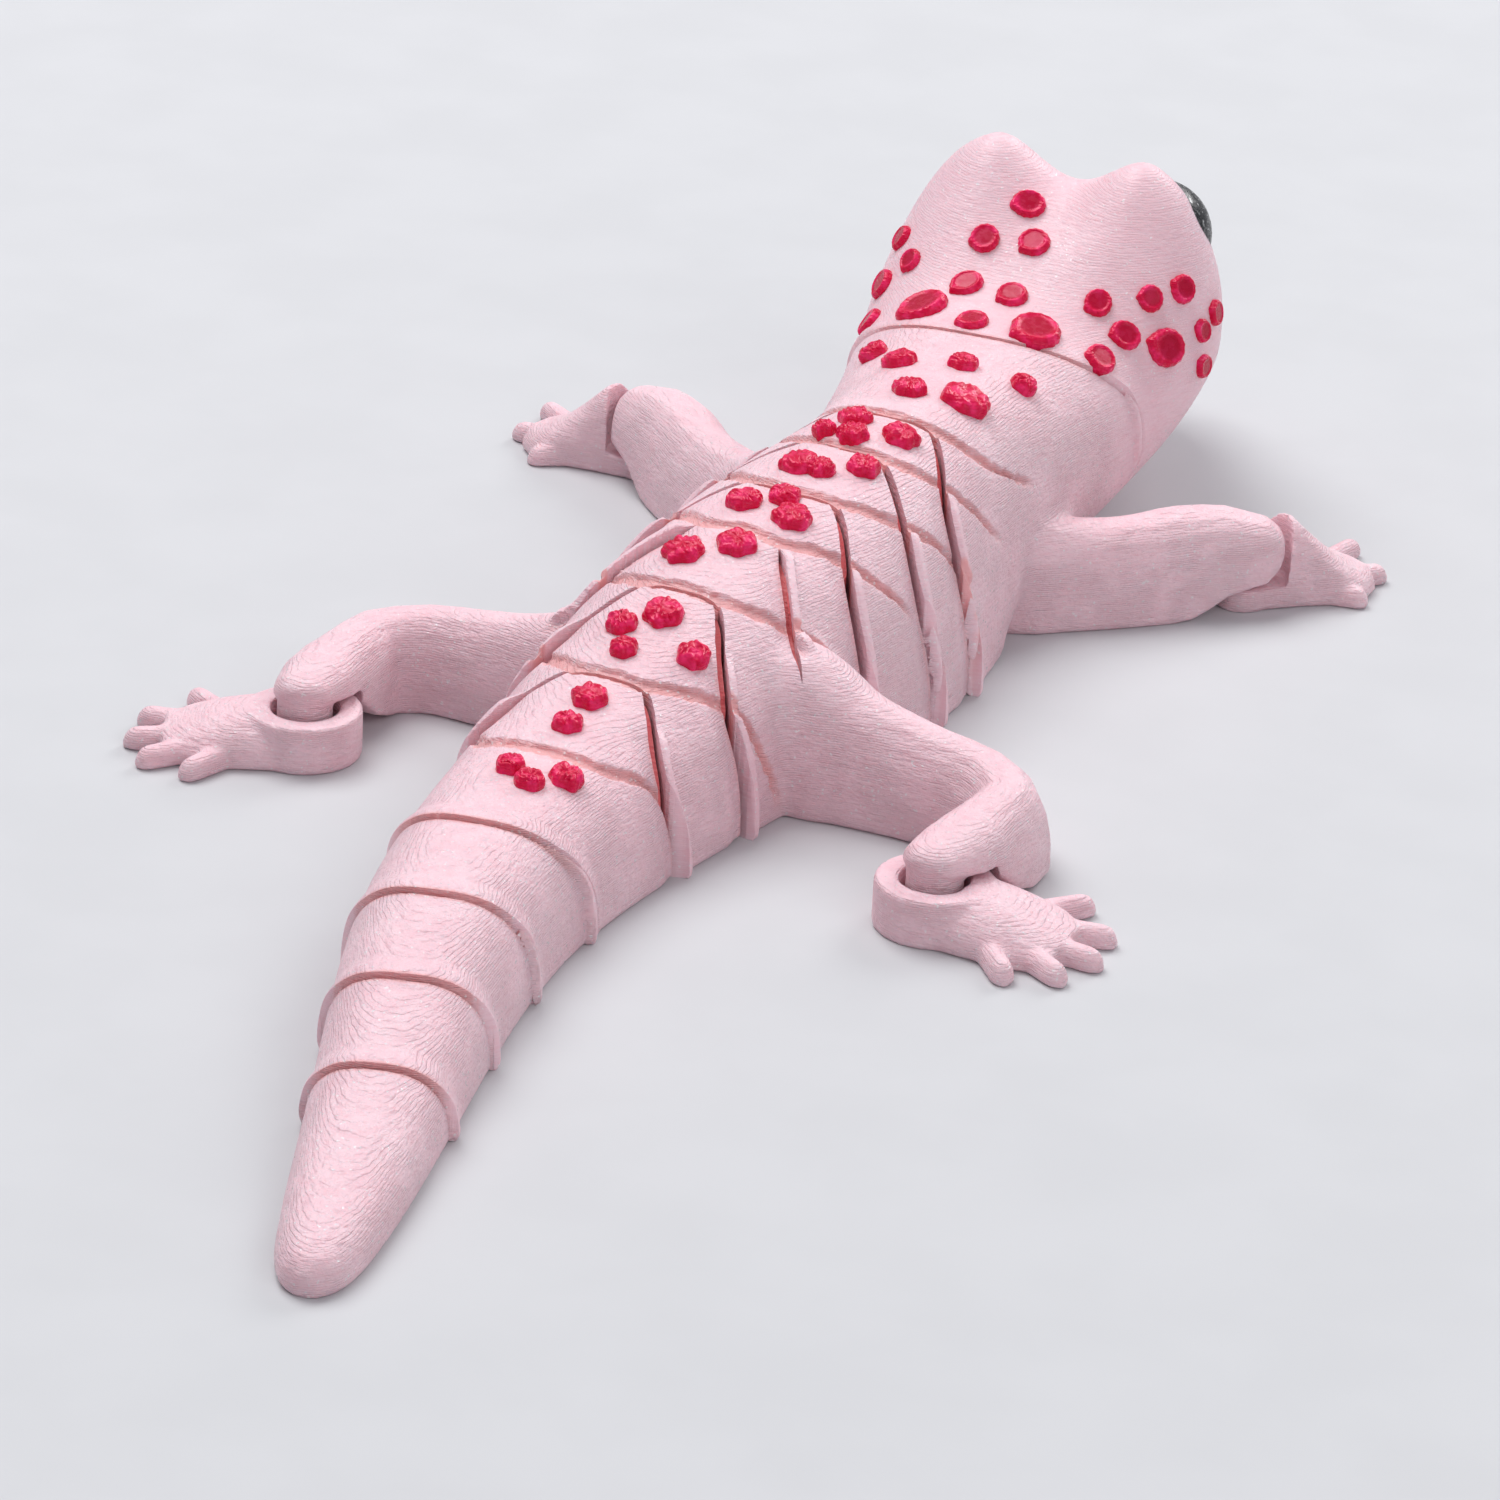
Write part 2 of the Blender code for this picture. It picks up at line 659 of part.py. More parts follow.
def make_foot(name, centre, aim, hand, shape):
    """Loop, palm and toes of one foot, pointing along aim."""
    forward = Vector((math.cos(aim), math.sin(aim)))
    right = Vector((forward.y, -forward.x)) * hand

    def row(along, headward, half, low, high):
        point = centre + forward * along - right * headward
        return (point.x, point.y, half, low, high)

    foot = tube(name, refine([row(*item) for item in shape["palm"]], PALM_PARTS), LEG_SIDES)
    if shape["back"] > 0:
        back = cylinder("back", centre, shape["back"], shape["height"], SMALL_CUT_TOP, 28)
        boolean(foot, back, "DIFFERENCE")
    pieces = [cylinder("loop", centre, shape["loop"], 0.0, shape["height"], 20)]
    for tip, base in zip(shape["toes"], shape["roots"]):
        reach = math.hypot(tip[0] - base[0], tip[1] - base[1])
        share = 1 - TOE_HALF_WIDTH / reach
        along = base[0] + (tip[0] - base[0]) * share
        headward = base[1] + (tip[1] - base[1]) * share
        near = row(base[0], base[1], TOE_HALF_WIDTH, 0.0, TOE_HEIGHT)
        far = row(along, headward, TOE_HALF_WIDTH * 0.92, 0.0, TOE_HEIGHT * 0.9)
        pieces.append(tube("toe", rounded_end([near, far], TOE_HALF_WIDTH), TOE_SIDES))
    fuse(foot, pieces)
    hole = cylinder("hole", centre, shape["post"] + POST_SLACK, SMALL_CUT, SMALL_CUT_TOP, 20)
    boolean(foot, hole, "DIFFERENCE")
    keep_largest(foot)
    return foot


def make_spot(distance, out, radius):
    """A low dome set square on the body's skin."""
    place, forward, right = spine_frame(distance)
    height = dome_height(distance, out)
    step = 0.4
    across = (dome_height(distance, out + step) - dome_height(distance, out - step)) / (2 * step)
    along = (dome_height(distance + 1, out) - dome_height(distance - 1, out)) / 2
    side = Vector((right.x, right.y, across)).normalized()
    ahead = Vector((forward.x, forward.y, along)).normalized()
    normal = side.cross(ahead).normalized()
    ahead = normal.cross(side)
    spot = place + right * out
    base = Vector((spot.x, spot.y, height))
    rings = []
    for size, lift in SPOT_RINGS:
        ring = []
        for index in range(SPOT_SIDES):
            angle = 2 * math.pi * (index + 0.5) / SPOT_SIDES
            around = side * math.cos(angle) + ahead * math.sin(angle)
            ring.append((base + around * radius * size + normal * lift) * MM)
        rings.append(ring)
    return make_object("spot", loft(rings))


def make_ellipsoid(name, centre, radii, rings=9, sides=16):
    """Stretched ball, in mm."""
    bm = bmesh.new()
    bmesh.ops.create_uvsphere(bm, u_segments=sides, v_segments=rings, radius=1.0)
    size = Matrix.Diagonal(Vector(radii) * MM).to_4x4()
    bmesh.ops.transform(bm, matrix=Matrix.Translation(centre * MM) @ size, verts=bm.verts)
    return make_object(name, bm)


def link_outline(rear, front):
    """Plan outline of a link between two seams."""
    first = seam_points(rear, 1) if rear else end_points(BODY_PROFILE[0][0], -8.0)
    second = seam_points(front, -1) if front else end_points(BODY_PROFILE[-1][0], 8.0)
    return first + list(reversed(second))


def copy_of(source, name):
    """A separate copy of an object and its mesh."""
    copy = source.copy()
    copy.data = source.data.copy()
    copy.name = name
    bpy.context.collection.objects.link(copy)
    return copy


def make_links():
    """Raise the spots on the whole trunk, then part it into its links."""
    body = body_loft("body")
    fuse(body, [make_spot(*row) for row in BODY_SPOTS + HEAD_SPOTS])
    links = {}
    for name, rear, front in LINKS:
        link = copy_of(body, name)
        tool = prism("block", link_outline(rear, front), FLOOR_CUT, TOP_CUT)
        boolean(link, tool, "INTERSECT")
        keep_largest(link)
        links[name] = link
    bpy.data.objects.remove(body)
    return links


def add_eyes(head):
    """Set a ball in the outer side of each brow."""
    eyes = []
    place, forward, right = spine_frame(EYE_AT)
    for hand, side in ((1, "right"), (-1, "left")):
        out = hand * (EYE_OUT + EYEBALL_OUT) + EYE_SHIFT
        spot = place + right * out + forward * EYEBALL_AHEAD
        middle = Vector((spot.x, spot.y, EYEBALL_HEIGHT))
        room = make_ellipsoid("room", middle, [EYEBALL_RADIUS + FIXED_GAP] * 3)
        boolean(head, room, "DIFFERENCE")
        eyes.append(make_ellipsoid("eye_" + side, middle, [EYEBALL_RADIUS] * 3))
    keep_largest(head)
    return eyes


def make_material(name, colour, roughness, metallic=0.0):
    """A plain principled material."""
    material = bpy.data.materials.new(name)
    material.use_nodes = True
    shader = material.node_tree.nodes["Principled BSDF"]
    shader.inputs["Base Color"].default_value = colour
    shader.inputs["Roughness"].default_value = roughness
    shader.inputs["Metallic"].default_value = metallic
    return material


def finish(obj, colour, roughness):
    """Give a node its own material and tidy its mesh."""
    bm = bmesh.new()
    bm.from_mesh(obj.data)
    bmesh.ops.remove_doubles(bm, verts=bm.verts, dist=WELD)
    bmesh.ops.dissolve_degenerate(bm, edges=bm.edges, dist=WELD / 2)
    bmesh.ops.recalc_face_normals(bm, faces=bm.faces)
    bm.to_mesh(obj.data)
    bm.free()
    obj.data.materials.clear()
    obj.data.materials.append(make_material(obj.name + "_finish", colour, roughness))


def floor_middle(objects):
    """Middle of the model's plan extent, in metres."""
    xs = [vertex.co.x for obj in objects for vertex in obj.data.vertices]
    ys = [vertex.co.y for obj in objects for vertex in obj.data.vertices]
    return Vector(((min(xs) + max(xs)) / 2, (min(ys) + max(ys)) / 2))


def make_empty(name, parent, place):
    """An empty at a place given in its parent's frame, in metres."""
    empty = bpy.data.objects.new(name, None)
    bpy.context.collection.objects.link(empty)
    empty.parent = parent
    empty.location = (place.x, place.y, 0.0)
    return empty


def hang_on_pivots(groups, pivots, middle):
    """Hang every moving group on an empty that stands on its joint's axis."""
    root = make_empty("gecko", None, -middle)
    for group, objects in groups.items():
        axis = pivots[group] * MM if group in pivots else Vector((0.0, 0.0))
        holder = make_empty("pivot_" + group, root, axis) if group in pivots else root
        for obj in objects:
            obj.parent = holder
            obj.location = (-axis.x, -axis.y, 0.0)


def main():
    for obj in list(bpy.data.objects):
        bpy.data.objects.remove(obj)
    links = make_links()
    eyes = add_eyes(links["head"])

    groups = {name: [link] for name, link in links.items() if name != "neck"}
    groups["shoulders"].append(links["neck"])
    groups["head"] += eyes
    pivots = {link: seam_pivot(seam) for link, seam in HINGES.items()}
    plans = [
        ("hind", "hips", HIND_LEG, HIND_ROOT, HIND_TURN, HIND_SHIFT, HIND_ANKLE,
         HIND_FOOT_AIM, HIND_FOOT),
        ("front", "shoulders", FRONT_LEG, FRONT_ROOT, FRONT_TURN, FRONT_SHIFT, FRONT_ANKLE,
         FRONT_FOOT_AIM, FRONT_FOOT),
    ]
    for kind, carrier, rows, root, turn, shift, ankle, aim, shape in plans:
        frame = leg_frame(root, turn, shift)
        for hand, side in ((1, "right"), (-1, "left")):
            leg, centre = make_leg("leg_" + kind + "_" + side, rows, root, frame, ankle,
                                   shape, hand)
            groups[carrier].append(leg)
            name = "foot_" + kind + "_" + side
            lean = math.radians(aim + FOOT_TURN[name])
            direction = frame[2] * hand * math.cos(lean) + frame[1] * math.sin(lean)
            angle = math.atan2(direction.y, direction.x)
            groups[name] = [make_foot(name, centre, angle, hand, shape)]
            pivots[name] = centre

    nodes = [obj for objects in groups.values() for obj in objects]
    for obj in nodes:
        finish(obj, EYE_GREY if obj in eyes else PINK, PLASTIC_ROUGHNESS)
    hang_on_pivots(groups, pivots, floor_middle(nodes))


main()
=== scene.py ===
"""Looks of an articulated, printed toy gecko in pale pink plastic.

The trunk, tail, head and legs are shaped as one fine skin, marked with the
toy's grooves and ribs, then cut into its links along the real seams. Feet,
raised spots and glitter eyes are pieces of their own.
Places are (distance along the spine, distance to the right, height) in mm.
"""
import math
import random

import bpy
import numpy as np
from mathutils import Matrix, Vector, noise
from mathutils.bvhtree import BVHTree


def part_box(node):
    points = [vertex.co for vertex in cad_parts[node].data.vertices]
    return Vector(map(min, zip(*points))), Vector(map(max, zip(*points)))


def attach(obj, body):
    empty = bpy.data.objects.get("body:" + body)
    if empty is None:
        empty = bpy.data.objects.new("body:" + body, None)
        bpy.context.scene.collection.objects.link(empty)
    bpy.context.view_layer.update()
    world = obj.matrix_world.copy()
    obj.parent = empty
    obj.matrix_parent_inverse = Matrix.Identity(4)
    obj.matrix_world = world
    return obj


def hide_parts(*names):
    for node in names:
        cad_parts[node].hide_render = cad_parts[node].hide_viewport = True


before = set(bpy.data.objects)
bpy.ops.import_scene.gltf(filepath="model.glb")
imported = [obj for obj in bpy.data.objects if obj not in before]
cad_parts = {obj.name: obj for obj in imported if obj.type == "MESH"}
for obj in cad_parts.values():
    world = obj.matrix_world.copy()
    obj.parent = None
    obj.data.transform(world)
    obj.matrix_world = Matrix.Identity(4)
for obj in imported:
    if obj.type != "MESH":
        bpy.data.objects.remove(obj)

bl_info = {
    "name": "Printed Toy Gecko",
    "version": (1, 0, 0),
    "blender": (4, 5, 0),
    "location": "View3D > Sidebar > Toy Gecko",
    "description": "Skins, spots and eyes of a jointed printed gecko",
    "category": "Object",
}

MM = 0.001

# Spine: where distance 0 lies, then (distance, heading in degrees).
SPINE_START = (11.297, -108.108)
SPINE_HEADINGS = [
    (0.0, 102.6), (12.0, 103.6), (26.0, 104.3), (40.0, 104.2), (54.0, 100.0),
    (68.0, 92.8), (82.0, 87.2), (96.0, 84.5), (110.0, 83.4), (124.0, 81.3),
    (138.0, 82.2), (150.0, 85.6), (160.0, 89.4), (168.0, 90.4), (176.0, 89.4),
    (190.0, 87.0), (223.0, 86.5),
]
SPINE_STEP = 0.5

# Body rows: distance, half width, underside, top.
BODY_ROWS = [
    (-4.6, 1.0, 0.0, 2.2), (-3.4, 2.5, 0.0, 3.4), (0.0, 3.8, 0.0, 4.3),
    (5.0, 4.6, 0.0, 5.0), (12.0, 5.4, 0.0, 5.8), (26.0, 6.6, 0.0, 7.9),
    (40.0, 7.8, 0.0, 10.6), (54.0, 9.0, 0.0, 12.6), (68.0, 10.2, 0.0, 13.1),
    (82.0, 11.8, 0.0, 13.9), (96.0, 13.7, 0.0, 16.4), (110.0, 15.4, 0.0, 20.2),
    (124.0, 16.8, 0.0, 22.4), (138.0, 16.4, 0.0, 23.8), (150.0, 14.4, 0.0, 24.6),
    (160.0, 13.8, 0.0, 24.6), (170.0, 15.2, 0.6, 24.4), (182.0, 17.3, 3.4, 26.2),
    (190.0, 18.9, 6.2, 30.2), (198.0, 19.0, 9.0, 33.6), (205.0, 16.6, 10.0, 30.8),
    (211.0, 13.4, 10.4, 25.4), (217.0, 9.8, 10.9, 20.4), (221.0, 6.4, 11.6, 17.4),
    (223.0, 3.0, 12.8, 15.6),
]
SECTION_POWER = 2.4
WAIST = 0.42
WAIST_FROM = 148.0
WAIST_FULL = 164.0
FLOOR_BEVEL = 0.4

# Tail and head seams: middle, radius about the pivot ahead, gap.
ROUND_SEAMS = {
    "tail_4": (23.0, 18.0, 0.45),
    "tail_3": (35.6, 13.0, 0.45),
    "tail_2": (48.4, 12.5, 0.45),
    "tail_1": (62.0, 12.5, 0.45),
    "head": (173.2, 24.0, 0.45),
}
ROUND_SWEEP = 62.0

# Trunk seams: gap in the slit, then the right-hand path from the middle line outwards.
TRUNK_SEAMS = {
    "rump": (0.95, [
        (92.8, 0.0), (92.6, 3.4), (91.3, 5.0), (86.8, 8.2), (84.5, 10.6), (85.0, 12.4),
        (85.6, 24.0)]),
    "hips": (0.95, [
        (107.3, 0.0), (107.1, 3.2), (105.6, 5.0), (101.9, 7.3), (97.3, 10.9), (96.3, 13.6),
        (96.8, 24.0)]),
    "belly": (1.0, [
        (128.0, 0.0), (128.6, 4.2), (127.0, 6.6), (120.6, 11.7), (117.9, 15.3), (118.4, 17.0),
        (118.9, 24.0)]),
    "chest": (0.95, [
        (139.2, 0.0), (139.4, 3.4), (137.9, 5.6), (132.9, 10.8), (129.7, 15.0), (130.9, 16.8),
        (131.6, 24.0)]),
    "shoulders": (0.95, [
        (148.3, 0.0), (148.7, 4.0), (147.4, 6.2), (141.2, 10.8), (138.3, 14.6), (139.3, 16.2),
        (140.0, 24.0)]),
}
# The seams' gap where they cross the back.
MIDDLE_GAP = 0.5
# How far below the skin a seam's ledge lies, in groove depths.
LEDGE_DEPTH = 0.9
# The slits' red floor, the core, is coloured with painted shade.
# The red floor of the slits: its depth, its face size, how far it keeps from the
# link ahead and how far inside the walls it stays elsewhere.
CORE_DEPTH = 1.3
CORE_DETAIL = 0.6
CORE_CLEARANCE = 0.3
CORE_INSET = 0.3
# The slit without a joint: its width and the height that its cut starts from.
BLIND_WIDTH = 0.65
BLIND_FLOOR = 5.0
# Heights of the blocks that cut the links.
BLOCK_LOW = -3.0
BLOCK_TOP = 46.0
INNER_LOW = 0.4
CORE_LOW = 0.3

# Faces along and around the body's first tube.
TUBE_ALONG = 420
TUBE_AROUND = 120
# How far a socket's radius is over its eye's.
SOCKET_ROOM = 0.15

# Links from the tail on: body, seam behind, seam ahead.
LINKS = [
    ("tail_tip", None, "tail_4"),
    ("tail_4", "tail_4", "tail_3"),
    ("tail_3", "tail_3", "tail_2"),
    ("tail_2", "tail_2", "tail_1"),
    ("tail_1", "tail_1", "rump"),
    ("rump", "rump", "hips"),
    ("hips", "hips", "belly"),
    ("belly", "belly", "chest"),
    ("chest", "chest", "shoulders"),
    ("shoulders", "shoulders", "head"),
    ("head", "head", None),
]
# Cad nodes that each link's skin stands for, where they are more than one.
LINK_NODES = {
    "hips": ["hips", "leg_hind_left", "leg_hind_right"],
    "shoulders": ["shoulders", "neck", "leg_front_left", "leg_front_right"],
}
# Where a link's outline goes past the ends of its seams, to take in its legs.
REAR_REACH = {
    "hips": [(80.0, 27.0), (78.0, 60.0)],
    "shoulders": [(139.0, 60.0)],
    "head": [(192.0, 32.0)],
}
FRONT_REACH = {"hips": [(120.0, 60.0)], "shoulders": [(190.0, 24.0), (190.0, 60.0)]}

# Shallow arcs across the back, from the middle to the flank: (distance, right, height or None).
ARCS = [
    [(78.2, 0.0, None), (79.3, 6.0, None), (83.7, 9.9, None), (84.5, 11.4, 3.0)],
    [(92.8, 0.0, None), (92.8, 3.5, None), (95.2, 7.6, None), (97.8, 10.1, None),
     (99.8, 13.2, 8.0), (102.3, 14.4, 0.0)],
    [(107.3, 0.0, None), (107.2, 3.8, None), (108.2, 7.2, None), (110.1, 10.0, None),
     (113.0, 13.2, None), (115.7, 14.9, 10.0)],
    [(119.2, 0.0, None), (118.8, 4.3, None), (120.8, 7.4, None), (124.6, 12.5, None),
     (128.8, 15.4, 12.0)],
    [(128.0, 0.0, None), (129.0, 5.2, None), (130.7, 8.0, None), (132.7, 10.3, None),
     (138.7, 14.2, 14.0), (139.4, 16.0, 4.0)],
    [(139.2, 0.0, None), (140.0, 6.0, None), (142.7, 9.9, None), (150.2, 13.5, 12.0)],
    [(148.3, 0.0, None), (148.8, 5.5, None), (152.0, 10.2, None), (159.2, 13.2, 15.0)],
]
# A slit in the hips that no joint runs under.
BLIND_SLITS = [
    [(118.3, 4.6, None), (110.3, 10.6, None), (105.8, 14.4, 6.6)],
]

# Raised spots by body: (distance, right, radius).
BODY_SPOTS = {
    "tail_1": [(73.5, -0.7, 1.4), (71.6, 2.0, 1.4), (74.8, 4.4, 1.6),
               (83.2, 0.6, 1.4), (88.2, 0.4, 1.7)],
    "rump": [(96.6, -0.5, 1.3), (100.2, -2.7, 1.5), (102.8, 0.4, 1.9), (99.2, 5.7, 1.6)],
    "hips": [(112.6, -2.9, 2.0), (115.8, 1.3, 1.9), (123.6, -2.6, 1.7), (123.1, 3.3, 1.9),
             (126.1, 0.6, 1.5)],
    "belly": [(133.1, -1.7, 1.9), (133.0, 0.8, 1.4), (136.1, 3.9, 1.6)],
    "chest": [(141.4, -3.5, 1.2), (141.5, -0.3, 1.6), (145.2, -1.9, 1.6), (144.3, 3.8, 1.8)],
    "shoulders": [(154.8, -0.3, 1.7), (156.8, 5.1, 2.5), (163.4, -4.8, 1.7),
                  (165.0, 1.7, 1.5), (168.9, -9.6, 1.5), (166.0, 8.1, 1.4)],
}
# The head's spots: (distance, right, radius, height or None).
HEAD_SPOTS = [
    (178.6, -8.0, 2.5, None), (175.9, -1.3, 1.7, None), (182.6, -4.7, 1.7, None),
    (182.1, 0.8, 1.7, None), (177.0, 5.5, 2.7, None), (186.2, -12.8, 1.3, None),
    (187.8, -5.0, 1.6, None), (189.0, 0.3, 1.7, None), (192.9, -2.2, 1.7, None),
    (184.4, 9.8, 1.5, None), (188.1, 14.4, 1.4, None), (183.6, 13.4, 1.6, None),
    (187.0, 17.0, 2.1, None), (178.8, 12.4, 1.7, None), (191.9, 16.6, 1.5, None),
    (193.1, 18.7, 1.2, 22.4), (196.5, 18.8, 1.3, 23.4), (193.1, 19.1, 1.3, 18.4),
    (190.3, -15.6, 1.4, 27.1), (186.1, -15.8, 1.6, 23.1), (180.7, -14.8, 1.5, None),
]

# The raised brows that the eyes sit in.
EYE_AT = 198.5
EYE_OUT = 9.8
EYE_SHIFT = 0.3
BROW_RISE = 6.1
BROW_BACK = 10.0
BROW_FRONT = 7.6
BROW_INNER = 6.0
BROW_OUTER = 9.2

# Camera and lights, in metres and degrees: each lamp's place, size and share of the key's power.
CAMERA_PLACE = (0.20133, -0.50808, 0.25611)
CAMERA_TURN = (64.974, -2.547, 22.188)
CAMERA_LENS = 145.44
LAMPS = {
    "key": ((-0.45, 0.25, 0.95), 0.7, 1.0),
    "fill": ((0.75, -0.55, 0.6), 0.8, 0.35),
    "back": ((0.25, 0.9, 0.6), 0.5, 0.45),
}
FLOOR_SIZE = 6.0
SKY_COLOUR = (0.9, 0.93, 1.0, 1.0)
SKY_STRENGTH = 0.35


class SkinSettings(bpy.types.PropertyGroup):
    """Sizes and colours of the pink printed plastic."""
    detail: bpy.props.FloatProperty(
        name="Detail", description="Size of the skin's faces", default=0.0003, unit="LENGTH")
    groove_depth: bpy.props.FloatProperty(
        name="Groove Depth", description="Depth of the arcs across the back",
        default=0.0005, unit="LENGTH")
    rib_height: bpy.props.FloatProperty(
        name="Rib Height", description="Height of the smooth rib ahead of each slit",
        default=0.0008, unit="LENGTH")
    layer_height: bpy.props.FloatProperty(
        name="Layer Height", description="Height of one printed layer",
        default=0.00022, unit="LENGTH")
    pink: bpy.props.FloatVectorProperty(
        name="Pink", description="Colour of the plastic", subtype="COLOR", size=4,
        default=(0.90, 0.63, 0.69, 1.0))
    # Painted shade: the reddish colour that shade gives the translucent plastic in its grooves and seams.
    salmon_groove_shade: bpy.props.FloatVectorProperty(
        name="Salmon", description="Colour that the plastic takes in its grooves",
        subtype="COLOR", size=4, default=(0.86, 0.42, 0.43, 1.0))
    # Painted shade: the deep red that shade gives the plastic deep inside the slits.
    inner_red_shade: bpy.props.FloatVectorProperty(
        name="Inner Red", description="Colour of the plastic deep inside the slits",
        subtype="COLOR", size=4, default=(0.80, 0.16, 0.17, 1.0))


class SpotSettings(bpy.types.PropertyGroup):
    """Sizes and colour of the raised spots."""
    body_rise: bpy.props.FloatProperty(
        name="Body Rise", description="Height of the lumpy spots on the back",
        default=0.00125, unit="LENGTH")
    head_rise: bpy.props.FloatProperty(
        name="Head Rise", description="Least height of the smooth spots on the head",
        default=0.0004, unit="LENGTH")
    root: bpy.props.FloatProperty(
        name="Root", description="How deep a spot is sunk into the skin",
        default=0.0009, unit="LENGTH")
    magenta: bpy.props.FloatVectorProperty(
        name="Magenta", description="Colour of the spots", subtype="COLOR", size=4,
        default=(0.68, 0.006, 0.055, 1.0))


class EyeSettings(bpy.types.PropertyGroup):
    """Look of the glitter eyes."""
    dark: bpy.props.FloatVectorProperty(
        name="Dark", description="Colour between the flakes", subtype="COLOR", size=4,
        default=(0.02, 0.02, 0.022, 1.0))
    flake: bpy.props.FloatVectorProperty(
        name="Flake", description="Colour of the brightest flakes", subtype="COLOR", size=4,
        default=(0.5, 0.5, 0.5, 1.0))


class StageSettings(bpy.types.PropertyGroup):
    """Floor and light."""
    floor_colour: bpy.props.FloatVectorProperty(
        name="Floor", description="Colour of the floor", subtype="COLOR", size=4,
        default=(0.62, 0.62, 0.64, 1.0))
    key_power: bpy.props.FloatProperty(
        name="Key Power", description="Power of the large lamp in watts", default=9.0)


def read_curve(rows, distance, column):
    """Cubic reading of one column of a table, for many distances at once."""
    marks = np.array([row[0] for row in rows])
    values = np.array([row[column] for row in rows])
    slopes = np.gradient(values)
    slopes[1:-1] = (values[2:] - values[:-2]) / (marks[2:] - marks[:-2])
    slopes[0] = (values[1] - values[0]) / (marks[1] - marks[0])
    slopes[-1] = (values[-1] - values[-2]) / (marks[-1] - marks[-2])
    distance = np.clip(distance, marks[0], marks[-1])
    index = np.clip(np.searchsorted(marks, distance, side="right") - 1, 0, len(marks) - 2)
    run = marks[index + 1] - marks[index]
    t = (distance - marks[index]) / run
    rise = 2 * t ** 3 - 3 * t ** 2
    start = (1 + rise) * values[index] + (t ** 3 - 2 * t ** 2 + t) * run * slopes[index]
    end = (t ** 3 - t ** 2) * run * slopes[index + 1] - rise * values[index + 1]
    return start + end


def walk_spine():
    """Marks along the spine, their places and headings in radians."""
    marks = np.arange(BODY_ROWS[0][0], BODY_ROWS[-1][0] + SPINE_STEP, SPINE_STEP)
    middles = np.radians(read_curve(SPINE_HEADINGS, marks[:-1] + SPINE_STEP / 2, 1))
    steps = np.stack([np.cos(middles), np.sin(middles)], 1) * SPINE_STEP
    places = np.vstack([[0.0, 0.0], np.cumsum(steps, 0)])
    start = [np.interp(0.0, marks, places[:, axis]) for axis in (0, 1)]
    places = places - start + np.array(SPINE_START)
    return marks, places, np.radians(read_curve(SPINE_HEADINGS, marks, 1))


MARKS, PLACES, HEADINGS = walk_spine()


def plan_places(distance, right):
    """Plan places in mm of points given along and beside the spine."""
    x = np.interp(distance, MARKS, PLACES[:, 0])
    y = np.interp(distance, MARKS, PLACES[:, 1])
    heading = np.interp(distance, MARKS, HEADINGS)
    return np.stack([x + np.sin(heading) * right, y - np.cos(heading) * right], -1)


def body_values(distance):
    """Half width, underside, widest height, top and roundness of the body."""
    half = read_curve(BODY_ROWS, distance, 1)
    low = np.maximum(read_curve(BODY_ROWS, distance, 2), 0.0)
    top = read_curve(BODY_ROWS, distance, 3)
    share = np.clip((distance - WAIST_FROM) / (WAIST_FULL - WAIST_FROM), 0.0, 1.0)
    bevel = np.minimum(FLOOR_BEVEL, 0.2 * half)
    widest = low + np.maximum(share * WAIST * (top - low), bevel)
    return half, low, widest, top, share


def brow_rise(distance, right):
    """Height in mm that the brows add to the top of the head."""
    ahead = distance - EYE_AT
    reach = np.where(ahead > 0, BROW_FRONT, BROW_BACK)
    rise = 0.0
    for hand in (1, -1):
        across = hand * (right - EYE_SHIFT) - EYE_OUT
        side = np.where(across > 0, BROW_OUTER, BROW_INNER)
        fall = np.abs(across / side) ** np.where(across > 0, 3.2, 2.0)
        rise = rise + BROW_RISE * np.exp(-(ahead / reach) ** 2 - fall)
    return rise


def section_points(distance, turn):
    """Section points (across, height) for turns from 0 to 1, right edge first."""
    half, low, widest, top, share = body_values(distance)
    power = 2.0 / SECTION_POWER
    over = turn < 2 / 3
    angle = np.where(over, math.pi * turn * 1.5, math.pi * (3 * turn - 1))
    across = np.cos(angle)
    up = np.abs(np.sin(angle))
    curved = np.sign(across) * np.abs(across) ** power * half
    flat = np.clip(across / 0.924, -1.0, 1.0) * (half - widest + low)
    under = flat + (curved - flat) * share
    drop = np.maximum(up, 1e-6) ** (power * share)
    x = np.where(over, curved, under)
    roof = top + brow_rise(distance, curved) - widest
    z = np.where(over, widest + up ** power * roof, widest - drop * (widest - low))
    return x, z


def girth_table():
    """Length round the section from its top, by whole distance and angle."""
    angles = np.linspace(0.0, math.pi / 2, 49)
    distances = np.arange(-4.0, 224.0)
    half, _, widest, top, _ = body_values(distances)
    reach = (np.abs(np.sin(angles)) ** SECTION_POWER
             + np.abs(np.cos(angles)) ** SECTION_POWER) ** (-1 / SECTION_POWER)
    x = half[:, None] * reach * np.sin(angles)
    z = (top - widest)[:, None] * reach * np.cos(angles)
    steps = np.hypot(np.diff(x, axis=1), np.diff(z, axis=1))
    return np.hstack([np.zeros((len(distances), 1)), np.cumsum(steps, 1)])


GIRTHS = girth_table()


def girth(distance, angle):
    """Length round the section from its top to an angle."""
    row = np.clip(np.rint(distance + 4).astype(int), 0, len(GIRTHS) - 1)
    place = np.clip(angle / (math.pi / 2), 0.0, 1.0) * 48
    index = np.minimum(place.astype(int), 47)
    part = place - index
    return GIRTHS[row, index] * (1 - part) + GIRTHS[row, index + 1] * part


